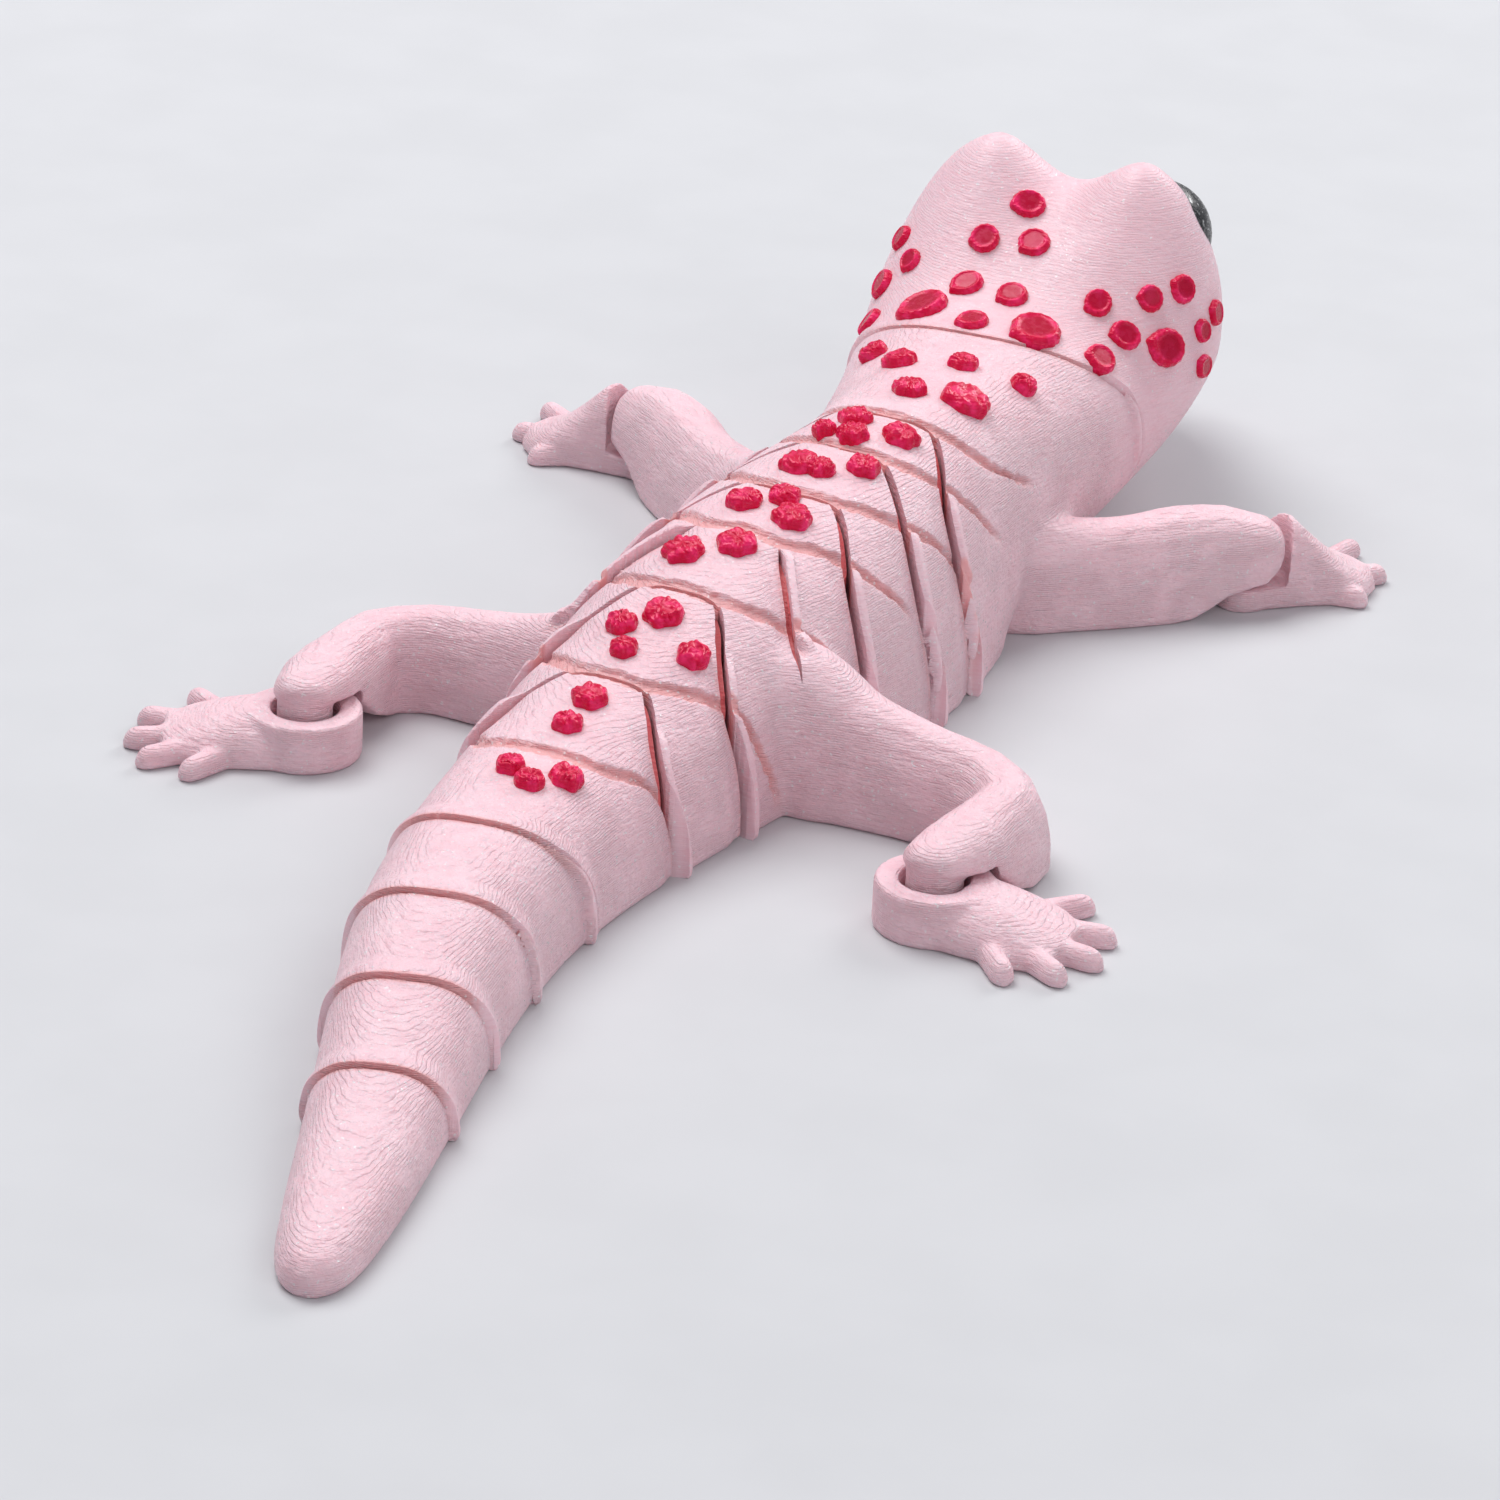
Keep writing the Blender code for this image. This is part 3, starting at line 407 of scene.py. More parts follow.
def chart(points):
    """Distance, signed right, girth and fullness of points given in mm."""
    nearest = np.empty(len(points), int)
    for start in range(0, len(points), 20000):
        block = points[start:start + 20000, None, :2]
        nearest[start:start + 20000] = ((block - PLACES[None, ::2]) ** 2).sum(2).argmin(1) * 2
    heading = HEADINGS[nearest]
    offset = points[:, :2] - PLACES[nearest]
    ahead = offset[:, 0] * np.cos(heading) + offset[:, 1] * np.sin(heading)
    right = offset[:, 0] * np.sin(heading) - offset[:, 1] * np.cos(heading)
    distance = MARKS[nearest] + ahead
    half, _, widest, top, _ = body_values(distance)
    up = (points[:, 2] - widest) / (top + brow_rise(distance, right) - widest)
    across = np.abs(right) / half
    angle = np.arctan2(across, np.maximum(up, 0.0))
    around = girth(distance, angle) + np.maximum(widest - points[:, 2], 0.0)
    full = (across ** SECTION_POWER + np.maximum(up, 0.0) ** SECTION_POWER) ** (1 / SECTION_POWER)
    return distance, right, around, full


def charted(path):
    """A finely stepped path in (distance, girth), from its given points."""
    rows = []
    for distance, right, height in path:
        half, _, widest, top, _ = body_values(np.array([distance]))
        if height is None:
            across = min(abs(right) / half[0], 0.999)
            up = (1 - across ** SECTION_POWER) ** (1 / SECTION_POWER)
        else:
            up = max((height - widest[0]) / (top[0] - widest[0]), 0.0)
            across = (1 - min(up, 0.999) ** SECTION_POWER) ** (1 / SECTION_POWER)
        angle = np.array([math.atan2(across, up)])
        rows.append((distance, float(girth(np.array([distance]), angle)[0])))
    return smooth_path(rows, 6)


def smooth_path(rows, parts):
    """More points on a smooth curve through the given ones."""
    rows = np.array(rows, float)
    marks = np.concatenate([[0.0], np.cumsum(np.hypot(*np.diff(rows, axis=0).T))])
    table = [(mark,) + tuple(row) for mark, row in zip(marks, rows)]
    fine = np.linspace(0.0, marks[-1], (len(rows) - 1) * parts + 1)
    return np.stack([read_curve(table, fine, 1), read_curve(table, fine, 2)], 1)


def path_distance(distance, around, path):
    """Signed distance to a path, more than 0 on its head side, and the share along it."""
    best = np.full(len(distance), 99.0)
    signed = np.full(len(distance), 99.0)
    share = np.zeros(len(distance))
    count = len(path) - 1
    for index in range(count):
        start, run = path[index], path[index + 1] - path[index]
        along = ((distance - start[0]) * run[0] + (around - start[1]) * run[1]) / (run @ run)
        clipped = np.clip(along, 0.0, 1.0)
        gap_s = distance - start[0] - clipped * run[0]
        gap_q = around - start[1] - clipped * run[1]
        gap = np.hypot(gap_s, gap_q)
        near = gap < best
        side = np.sign(gap_s * run[1] - gap_q * run[0])
        best = np.where(near, gap, best)
        signed = np.where(near, gap * side, signed)
        share = np.where(near, (index + clipped) / count, share)
    return signed, share


def smooth_step(value, low, high):
    """0 below low and 1 above high, with a soft change between them."""
    t = np.clip((value - low) / (high - low), 0.0, 1.0)
    return t * t * (3 - 2 * t)


def seam_path(name):
    """A seam's right half as a chart path."""
    if name in TRUNK_SEAMS:
        rows = [(distance, right, None) for distance, right in TRUNK_SEAMS[name][1][:-2]]
        last = TRUNK_SEAMS[name][1][-2]
        return charted(rows + [(last[0], last[1], 0.0)])
    middle, radius, _ = ROUND_SEAMS[name]
    half = float(body_values(np.array([middle + 2.0]))[0][0])
    rows = []
    for index in range(8):
        across = half * 0.97 * index / 7
        ahead = radius - math.sqrt(max(radius ** 2 - across ** 2, 0.0))
        rows.append((middle + ahead, across, None))
    rows.append((rows[-1][0] + 0.5, half, 0.0))
    return charted(rows)


def wobble(points, scale, seed):
    """Smooth noise from -1 to 1 at points given in mm."""
    shift = Vector((seed * 7.1, seed * 3.3, seed * 5.7))
    return np.array([noise.noise(Vector(point) * scale + shift) for point in points])


class Relief:
    """The grooves, slits and ribs of the skin, as amounts for each of its points."""

    def __init__(self, points, skin):
        self.points = points
        self.distance, self.right, self.around, self.full = chart(points)
        self.raised = np.zeros(len(points))
        self.pressed = np.zeros(len(points))
        # deep: how much painted shade each point takes in the grooves and seams.
        self.deep = np.zeros(len(points))
        self.sleek = 0.75 * smooth_step(self.distance, 172.0, 178.0)
        self.add_arcs(skin.groove_depth / MM)
        self.add_slits(skin.rib_height / MM)
        self.add_round_seams(skin.rib_height / MM)

    def out(self):
        """How far each point moves out, in mm."""
        return self.raised - self.pressed

    def near(self, path, margin=3.5):
        """Points near a path, their signed distance to it, share along it and closeness."""
        body = (self.full < 1.14) & (self.around < path[:, 1].max() + margin)
        body &= self.distance > path[:, 0].min() - margin
        body &= self.distance < path[:, 0].max() + margin
        index = np.flatnonzero(body)
        signed, share = path_distance(self.distance[index], self.around[index], path)
        return index, signed, share, 1 - smooth_step(self.full[index], 1.05, 1.13)

    def press(self, index, amount):
        self.pressed[index] = np.maximum(self.pressed[index], amount)

    # Paint shade into the grooves: deep amounts that turn the skin reddish.
    def paint_groove_shade(self, index, amount):
        self.deep[index] = np.maximum(self.deep[index], amount)

    def polish(self, index, amount):
        self.sleek[index] = np.maximum(self.sleek[index], amount)

    def add_arcs(self, depth):
        """The ragged bands pressed across the back."""
        for path in [charted(rows) for rows in ARCS]:
            index, signed, share, close = self.near(path)
            off = np.abs(signed) + 0.3 * wobble(self.points[index], 1.1, 1)
            close = close * (1 - smooth_step(share, 0.8, 1.0))
            width = 0.7 - 0.44 * smooth_step(share, 0.1, 0.9)
            self.press(index, (1 - smooth_step(off, width - 0.1, width + 0.2)) * depth * close)
            # Painted shade along the band, a little wider than the pressed groove.
            self.paint_groove_shade(index, (1 - smooth_step(off, width, width + 0.36)) * close)

    def add_slits(self, rib):
        """Ribs ahead of the slits and sunk panels behind them."""
        paths = [(charted(rows), 0.35, 0.0) for rows in BLIND_SLITS]
        paths += [(seam_path(name), TRUNK_SEAMS[name][0] / 2, 0.34) for name in TRUNK_SEAMS]
        for path, half, start in paths:
            index, signed, share, close = self.near(path)
            flank = smooth_step(share, start, start + 0.12) * close
            if start == 0.0:
                flank *= 1 - smooth_step(share, 0.8, 0.95)
            edge = smooth_step(signed, -0.1, half - 0.1)
            edge *= 1 - smooth_step(signed, half + 0.7, half + 1.0)
            self.raised[index] += edge * flank * rib
            self.polish(index, edge * flank)
            fall = 1 - smooth_step(-signed, half + 0.3, half + 2.6)
            self.raised[index] -= fall * (signed < 0) * flank * 0.45 * rib
            # Painted shade along the slit's tail-side edge.
            rim = 1 - smooth_step(np.abs(signed + half), 0.1, 0.4)
            self.paint_groove_shade(index, 0.5 * rim * flank)

    def add_round_seams(self, rib):
        """The lips of the tail and neck rings."""
        for name, (_, _, gap) in ROUND_SEAMS.items():
            index, signed, share, _ = self.near(seam_path(name))
            flank = smooth_step(share, 0.4, 0.7)
            lip = 0.42 if name != "head" else 0.12
            ahead = smooth_step(signed, -0.1, 0.1) * (1 - smooth_step(signed, 0.9, 3.4))
            self.raised[index] += ahead * lip
            edge = smooth_step(signed, 0.1, 0.35) * (1 - smooth_step(signed, 0.9, 1.3)) * flank
            self.raised[index] += edge * rib * 0.3
            self.polish(index, edge)
            # Painted shade in the ring's gap, fainter on the flank and on the neck.
            off = np.abs(signed) + 0.1 * wobble(self.points[index], 2.2, 3)
            near_gap = 1 - smooth_step(off, gap / 2 + 0.1, gap / 2 + 0.36)
            self.paint_groove_shade(index, near_gap * (1 - 0.85 * flank) * (0.9 if name != "head" else 0.6))


def coordinates(obj):
    """An object's vertices in mm."""
    values = np.empty(len(obj.data.vertices) * 3)
    obj.data.vertices.foreach_get("co", values)
    return values.reshape(-1, 3) / MM


def place_vertices(obj, points):
    """Put an object's vertices at places given in mm."""
    obj.data.vertices.foreach_set("co", (points * MM).ravel())
    obj.data.update()


def vertex_normals(obj):
    """Unit normals of an object's vertices."""
    values = np.empty(len(obj.data.vertices) * 3)
    obj.data.vertex_normals.foreach_get("vector", values)
    return values.reshape(-1, 3)


def choose(*objects):
    """Select just these objects, the first of them active."""
    bpy.ops.object.select_all(action="DESELECT")
    for obj in objects:
        obj.select_set(True)
    bpy.context.view_layer.objects.active = objects[0]


def edit(obj, *steps):
    """Run edit-mode steps on the whole of an object."""
    choose(obj)
    bpy.ops.object.mode_set(mode="EDIT")
    bpy.ops.mesh.select_all(action="SELECT")
    for step in steps:
        step()
    bpy.ops.object.mode_set(mode="OBJECT")


def merge_doubles():
    bpy.ops.mesh.remove_doubles(threshold=0.00001)


def face_outwards():
    bpy.ops.mesh.select_all(action="SELECT")
    bpy.ops.mesh.normals_make_consistent(inside=False)


def close_holes():
    bpy.ops.mesh.select_all(action="SELECT")
    bpy.ops.mesh.fill_holes(sides=0)


def apply_modifier(obj, kind, **values):
    """Add one modifier with these values and apply it."""
    choose(obj)
    modifier = obj.modifiers.new(kind.lower(), kind)
    for key, value in values.items():
        setattr(modifier, key, value)
    bpy.ops.object.modifier_apply(modifier=modifier.name)


def copy_nodes(name, *nodes):
    """A merged copy of CAD nodes as one new object."""
    bpy.ops.object.select_all(action="DESELECT")
    copies = []
    for node in nodes:
        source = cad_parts[node]
        copy = source.copy()
        copy.data = source.data.copy()
        copy.parent = None
        for key in list(copy.keys()):
            del copy[key]
        bpy.context.scene.collection.objects.link(copy)
        copies.append(copy)
    choose(*copies)
    if len(copies) > 1:
        bpy.ops.object.join()
    copy = bpy.context.view_layer.objects.active
    copy.name = name
    copy.data.name = name
    copy.data.materials.clear()
    edit(copy, merge_doubles)
    return copy


def join(name, *objects):
    """Join objects into the first of them."""
    choose(*objects)
    if len(objects) > 1:
        bpy.ops.object.join()
    objects[0].name = name
    return objects[0]


def soften(obj, weights, rounds):
    """Smooth the part of an object that the weights pick out."""
    group = obj.vertex_groups.new(name="blend")
    chosen = np.flatnonzero(weights > 0.02)
    steps = np.ceil(weights[chosen] * 10).astype(int)
    for step in np.unique(steps):
        group.add([int(i) for i in chosen[steps == step]], step / 10, "REPLACE")
    apply_modifier(obj, "SMOOTH", factor=0.5, iterations=rounds, vertex_group="blend")
    obj.vertex_groups.clear()


def body_tube():
    """The whole body from tail tip to snout as one smooth tube."""
    bpy.ops.mesh.primitive_grid_add(
        x_subdivisions=TUBE_ALONG, y_subdivisions=TUBE_AROUND, size=1)
    tube = bpy.context.view_layer.objects.active
    points = coordinates(tube) * MM
    span = BODY_ROWS[-1][0] - BODY_ROWS[0][0]
    distance = BODY_ROWS[0][0] + (points[:, 0] + 0.5) * span
    turn = np.mod(points[:, 1] + 0.5, 1.0)
    x, z = section_points(distance, turn)
    plan = plan_places(distance, x)
    place_vertices(tube, np.column_stack([plan, z]))
    edit(tube, merge_doubles, close_holes, face_outwards)
    return tube


def rooted_legs():
    """Copies of the four legs, run on into the body."""
    legs = copy_nodes("legs", "leg_hind_left", "leg_hind_right", "leg_front_left", "leg_front_right")
    points = coordinates(legs)
    distance, right, _, full = chart(points)
    roots = full < 1.07
    inner = plan_places(distance, right * 0.88)
    points[roots, :2] = inner[roots]
    points[roots & (points[:, 2] > 0.6), 2] *= 0.93
    place_vertices(legs, points)
    return legs


def outline_side(name, side, ragged, core=False):
    """Plan points in mm of one wall of a seam, right to left.

    The core's wall lies inside the skin's, but nearly closes the slits ahead of its link.
    """
    inset = CORE_INSET if core else 0.0
    if name in ROUND_SEAMS:
        middle, radius, gap = ROUND_SEAMS[name]
        place = plan_places(middle, 0.0)
        heading = float(np.interp(middle, MARKS, HEADINGS))
        forward = np.array([math.cos(heading), math.sin(heading)])
        rightward = np.array([math.sin(heading), -math.cos(heading)])
        angles = np.radians(np.linspace(ROUND_SWEEP, -ROUND_SWEEP, 121))
        reach = radius - side * (gap / 2 + inset)
        arms = np.outer(np.sin(angles), rightward) - np.outer(np.cos(angles), forward)
        line = place + forward * radius + arms * reach
    else:
        gap, path = TRUNK_SEAMS[name]
        rows = smooth_path(path[:-1], 14)
        rows = np.vstack([rows, path[-1]])
        both = np.vstack([rows[::-1], rows[1:] * (1, -1)])
        line = plan_places(both[:, 0], both[:, 1])
        run = np.gradient(line, axis=0)
        run /= np.hypot(run[:, 0], run[:, 1])[:, None]
        ahead = np.stack([run[:, 1], -run[:, 0]], 1)
        out = np.abs(both[:, 1])
        slit = smooth_step(out, 3.2, 6.0) * (1 - 0.45 * smooth_step(out, 9.0, 14.0))
        wide = MIDDLE_GAP + (gap - MIDDLE_GAP) * slit
        offset = wide / 2 + inset
        if core and side < 0:
            bridge = smooth_step(out, 3.0, 4.5) * (1 - smooth_step(out, 9.5, 11.0))
            offset -= (wide + inset - CORE_CLEARANCE) * bridge
        line = line + ahead * (side * offset)[:, None]
    shake = np.array([noise.noise(Vector((x * 1.1, y * 1.1, side * 9.0))) for x, y in line])
    heading = np.gradient(line, axis=0)
    heading /= np.hypot(heading[:, 0], heading[:, 1])[:, None]
    return line + np.stack([heading[:, 1], -heading[:, 0]], 1) * shake[:, None] * ragged


def link_outline(name, rear, front, core=False):
    """Plan outline in mm of a link, or of its core."""
    ragged = 0.0 if core else 0.05
    if rear:
        behind = outline_side(rear, 1, ragged, core)
    else:
        behind = plan_places(np.full(2, BODY_ROWS[0][0] - 9.0), np.array([24.0, -24.0]))
    if front:
        ahead = outline_side(front, -1, ragged, core)
    else:
        ahead = plan_places(np.full(2, BODY_ROWS[-1][0]), np.array([32.0, -32.0]))
        ahead = ahead + np.array([0.0, 10.0])
    behind = reach_out(behind, REAR_REACH.get(name, []))
    ahead = reach_out(ahead, FRONT_REACH.get(name, []))
    return np.vstack([behind, ahead[::-1]])


def reach_out(line, rows):
    """A wall's line with further points outside both of its ends."""
    if not rows:
        return line
    rows = np.array(rows)
    right = plan_places(rows[:, 0], rows[:, 1])[::-1]
    left = plan_places(rows[:, 0], -rows[:, 1])
    return np.vstack([right, line, left])


def block(name, outline, low, high, slot):
    """An upright block over a plan outline, all of one material slot."""
    bpy.ops.mesh.primitive_circle_add(vertices=len(outline), radius=1, fill_type="NGON")
    obj = bpy.context.view_layer.objects.active
    obj.name = name
    place_vertices(obj, np.column_stack([outline, np.full(len(outline), low)]))

    def raise_top():
        bpy.ops.mesh.extrude_region_move(
            TRANSFORM_OT_translate={"value": (0.0, 0.0, (high - low) * MM)})

    edit(obj, raise_top, face_outwards)
    for material in (skin_material(), seam_material()):
        obj.data.materials.append(material)
    obj.data.polygons.foreach_set("material_index", [slot] * len(obj.data.polygons))
    return obj


def cut(target, tool, operation):
    """Cut an object with a tool and remove the tool."""
    apply_modifier(target, "BOOLEAN", operation=operation, solver="MANIFOLD", object=tool)
    bpy.data.objects.remove(tool)


def copy_of(obj, name):
    """A copy of an object with its own mesh."""
    copy = obj.copy()
    copy.data = obj.data.copy()
    copy.name = name
    bpy.context.scene.collection.objects.link(copy)
    return copy


def ledge_outline(name):
    """Plan outline of the ledge that closes a seam from below."""
    behind = outline_side(name, -1, 0.0)
    ahead = outline_side(name, 1, 0.0)
    if name in TRUNK_SEAMS:
        middle = len(behind) // 2
        keep = slice(middle - 17, middle + 18)
        behind, ahead = behind[keep], ahead[keep]
    apart = ahead - behind
    return np.vstack([behind - 0.4 * apart, (ahead - 0.12 * apart)[::-1]])


def blind_outline(rows, hand):
    """Plan outline of a slit that no joint runs under, pointed at both ends."""
    line = smooth_path([(row[0], row[1]) for row in rows], 12)
    share = np.linspace(0.0, 1.0, len(line))
    run = np.gradient(line, axis=0)
    run /= np.hypot(run[:, 0], run[:, 1])[:, None]
    wide = BLIND_WIDTH / 2 * np.minimum(1.0, 5 * np.minimum(share, 1 - share) + 0.1)
    apart = np.stack([-run[:, 1], run[:, 0]], 1) * wide[:, None]
    both = np.vstack([line + apart, (line - apart)[::-1]])
    return plan_places(both[:, 0], hand * both[:, 1])


def mark_skin(obj, skin):
    """Give a piece the attributes that colour its seams with painted shade and calm its bumps."""
    marks = Relief(coordinates(obj), skin)
    for key, values in (("deep", marks.deep), ("sleek", marks.sleek)):
        attribute = obj.data.attributes.new(key, "FLOAT", "POINT")
        attribute.data.foreach_set("value", values.astype(np.float32))


def finish_piece(obj, body, nodes, angle=38.0):
    """Shade a piece, hang it on its body and hide the nodes that it stands for."""
    choose(obj)
    bpy.ops.object.shade_smooth_by_angle(angle=math.radians(angle))
    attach(obj, body)
    if nodes:
        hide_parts(*nodes)


class Shader:
    """Small helper that adds and links nodes of one material."""

    def __init__(self, name):
        self.material = bpy.data.materials.new(name)
        self.material.use_nodes = True
        self.nodes = self.material.node_tree.nodes
        self.links = self.material.node_tree.links
        self.bsdf = self.nodes["Principled BSDF"]
        self.coords = self.add("ShaderNodeTexCoord").outputs["Object"]

    def add(self, kind, inputs=(), **values):
        node = self.nodes.new(kind)
        for key, value in values.items():
            setattr(node, key, value)
        for key, value in dict(inputs).items():
            if isinstance(value, bpy.types.NodeSocket):
                self.links.new(value, node.inputs[key])
            else:
                node.inputs[key].default_value = value
        return node

    def math(self, operation, first, second=0.0, third=0.0):
        node = self.add("ShaderNodeMath", {0: first, 1: second, 2: third}, operation=operation)
        return node.outputs[0]

    def noise(self, scale, stretch=(1.0, 1.0, 1.0), detail=2.0, roughness=0.5):
        mapping = self.add("ShaderNodeMapping", {"Vector": self.coords, "Scale": stretch})
        texture = self.add("ShaderNodeTexNoise", {
            "Vector": mapping.outputs[0], "Scale": scale, "Detail": detail,
            "Roughness": roughness})
        return texture.outputs["Fac"]

    def cells(self, scale):
        texture = self.add("ShaderNodeTexVoronoi", {"Vector": self.coords, "Scale": scale})
        return texture.outputs["Color"]

    def ramp(self, value, low, high, first=0.0, second=1.0):
        node = self.add("ShaderNodeMapRange", {
            "Value": value, "From Min": low, "From Max": high, "To Min": first,
            "To Max": second}, interpolation_type="SMOOTHSTEP")
        return node.outputs[0]

    def mix(self, factor, first, second):
        node = self.add("ShaderNodeMix", data_type="RGBA")
        for index, value in ((0, factor), (6, first), (7, second)):
            if isinstance(value, bpy.types.NodeSocket):
                self.links.new(value, node.inputs[index])
            else:
                node.inputs[index].default_value = value
        return node.outputs[2]

    def attribute(self, name):
        return self.add("ShaderNodeAttribute", attribute_name=name).outputs["Fac"]

    def bump(self, height, distance, strength, after=None):
        inputs = {"Height": height, "Distance": distance, "Strength": strength}
        if after is not None:
            inputs["Normal"] = after
        return self.add("ShaderNodeBump", inputs).outputs[0]

    def set(self, **values):
        for key, value in values.items():
            socket = self.bsdf.inputs[key.replace("_", " ")]
            if isinstance(value, bpy.types.NodeSocket):
                self.links.new(value, socket)
            else:
                socket.default_value = value
        return self.material


def printed_normal(shader, layer, sleek):
    """Bumps of printed layers: thin contour lines, streaks along them and fine grain."""
    height = shader.add("ShaderNodeSeparateXYZ", {0: shader.coords}).outputs[2]
    warp = shader.noise(330.0, detail=3.0)
    level = shader.math("MULTIPLY_ADD", height, 1 / layer, shader.math("MULTIPLY", warp, 2.2))
    line = shader.ramp(shader.math("PINGPONG", level, 0.5), 0.0, 0.22)
    patch = shader.ramp(shader.noise(210.0, detail=1.0), 0.35, 0.6, 0.25, 0.8)
    line = shader.math("MULTIPLY", line, patch)
    streak = shader.noise(1.0, (560.0, 560.0, 2900.0), 3.0, 0.65)
    weave = shader.noise(1.0, (1500.0, 1500.0, 2600.0), 2.0, 0.5)
    rough = shader.math("MULTIPLY_ADD", streak, 3.6, line)
    rough = shader.math("MULTIPLY_ADD", weave, 2.4, rough)
    calm = shader.math("SUBTRACT", 1.0, shader.math("MULTIPLY", sleek, 0.85))
    return shader.bump(shader.math("MULTIPLY", rough, calm), 0.00009, 1.0)


def sparkle_mask(shader, scale, rate):
    """Rare tiny cells, 1 inside and 0 outside."""
    colour = shader.add("ShaderNodeSeparateColor", {0: shader.cells(scale)}).outputs[0]
    return shader.math("GREATER_THAN", colour, 1.0 - rate)


def skin_material():
    """Pale pink plastic with printed layers, turned reddish in its grooves by painted shade and lightened
    at tiny sparkles by painted glints.
    """
    found = bpy.data.materials.get("pink_printed_plastic")
    if found:
        return found
    settings = bpy.context.scene.gecko_skin
    shader = Shader("pink_printed_plastic")
    deep = shader.attribute("deep")
    sleek = shader.attribute("sleek")
    patch = shader.ramp(shader.noise(90.0, detail=3.0), 0.35, 0.7)
    warm = [value * factor for value, factor in zip(settings.pink, (0.98, 0.88, 0.9, 1.0))]
    colour = shader.mix(shader.math("MULTIPLY", patch, 0.5), tuple(settings.pink), tuple(warm))
    fine = shader.ramp(shader.noise(1.0, (500.0, 500.0, 4200.0), 2.0), 0.35, 0.75)
    darker = [value * factor for value, factor in zip(settings.pink, (0.93, 0.74, 0.78, 1.0))]
    colour = shader.mix(shader.math("MULTIPLY", fine, 0.4), colour, tuple(darker))
    # Painted shade: the skin turns reddish where the deep attribute is high, in the grooves and seams.
    colour = shader.mix(deep, colour, tuple(settings.salmon_groove_shade))
    # Painted glints: tiny sparkle cells are lightened toward white in colour, besides being made smoother
    # and bumped.
    glint_spark = sparkle_mask(shader, 4600.0, 0.02)
    colour = shader.mix(shader.math("MULTIPLY", glint_spark, 0.6), colour, (0.97, 0.9, 0.92, 1.0))
    rough = shader.ramp(shader.noise(900.0, detail=2.0), 0.3, 0.7, 0.4, 0.56)
    rough = shader.math("SUBTRACT", rough, shader.math("MULTIPLY", glint_spark, 0.34))
    normal = printed_normal(shader, settings.layer_height, sleek)
    normal = shader.bump(glint_spark, 0.00008, 0.6, normal)
    return shader.set(
        Base_Color=colour, Roughness=rough, Normal=normal, Subsurface_Weight=0.22,
        Subsurface_Radius=(1.0, 0.45, 0.4), Subsurface_Scale=0.0012, Specular_IOR_Level=0.5)


def seam_material():
    """The same plastic on the walls inside the seams, deeper in colour with painted shade, and deep red
    with painted shade where deep is high.
    """
    found = bpy.data.materials.get("salmon_seam_painted_shade")
    if found:
        return found
    settings = bpy.context.scene.gecko_skin
    shader = Shader("salmon_seam_painted_shade")
    streak = shader.ramp(shader.noise(1.0, (350.0, 350.0, 3800.0), 2.0), 0.35, 0.7)
    darker = [value * factor for value, factor in zip(settings.salmon_groove_shade, (0.82, 0.42, 0.42, 1.0))]
    colour = shader.mix(shader.math("MULTIPLY", streak, 0.5), tuple(settings.salmon_groove_shade), tuple(darker))
    # Painted shade: where deep is high, as on the slits' core, the walls turn deep red.
    colour = shader.mix(shader.attribute("deep"), colour, tuple(settings.inner_red_shade))
    normal = shader.bump(streak, 0.00006, 1.0)
    return shader.set(Base_Color=colour, Roughness=0.5, Normal=normal, Subsurface_Weight=0.2,
                      Subsurface_Radius=(1.0, 0.3, 0.3), Subsurface_Scale=0.001)


def spot_material():
    """Silky magenta plastic with fine strands, darker in the dished tops."""
    found = bpy.data.materials.get("magenta_silk_plastic")
    if found:
        return found
    settings = bpy.context.scene.gecko_spots
    shader = Shader("magenta_silk_plastic")
    dish = shader.attribute("dish")
    height = shader.add("ShaderNodeSeparateXYZ", {0: shader.coords}).outputs[2]
    strand = shader.math("PINGPONG", shader.math(
        "MULTIPLY_ADD", height, 3300.0, shader.math("MULTIPLY", shader.noise(700.0), 2.5)), 0.5)
    patch = shader.ramp(shader.noise(800.0, detail=2.0), 0.42, 0.7)
    bright = [value * factor + add for value, factor, add in zip(
        settings.magenta, (1.25, 3.0, 2.4, 1.0), (0.05, 0.01, 0.02, 0.0))]
    darker = [value * factor for value, factor in zip(settings.magenta, (0.62, 0.5, 0.5, 1.0))]
    colour = shader.mix(patch, tuple(settings.magenta), tuple(bright))
    colour = shader.mix(shader.math("MULTIPLY", dish, 0.8), colour, tuple(darker))
    rough = shader.ramp(shader.noise(1600.0, detail=1.0), 0.3, 0.7, 0.18, 0.36)
    strand = shader.math("MULTIPLY", strand, shader.math("SUBTRACT", 1.0, dish))
    normal = shader.bump(strand, 0.00006, 1.0)
    return shader.set(Base_Color=colour, Roughness=rough, Normal=normal,
                      Specular_Tint=(1.0, 0.35, 0.5, 1.0), Subsurface_Weight=0.08,
                      Subsurface_Radius=(1.0, 0.2, 0.3), Subsurface_Scale=0.0006)


def eye_material():
    """Dark plastic full of silver flakes."""
    found = bpy.data.materials.get("dark_glitter_plastic")
    if found:
        return found
    settings = bpy.context.scene.gecko_eyes
    shader = Shader("dark_glitter_plastic")
    flake = shader.add("ShaderNodeSeparateColor", {0: shader.cells(3600.0)})
    bright = shader.ramp(flake.outputs[0], 0.72, 0.98)
    big = shader.ramp(shader.noise(1400.0, detail=2.0), 0.45, 0.62)
    glint = shader.math("MULTIPLY", bright, big)
    colour = shader.mix(glint, tuple(settings.dark), tuple(settings.flake))
    rough = shader.ramp(flake.outputs[1], 0.0, 1.0, 0.18, 0.5)
    normal = shader.bump(flake.outputs[2], 0.00006, 1.0)
    metal = shader.math("MULTIPLY", glint, 0.8)
    return shader.set(Base_Color=colour, Roughness=rough, Normal=normal, Metallic=metal)


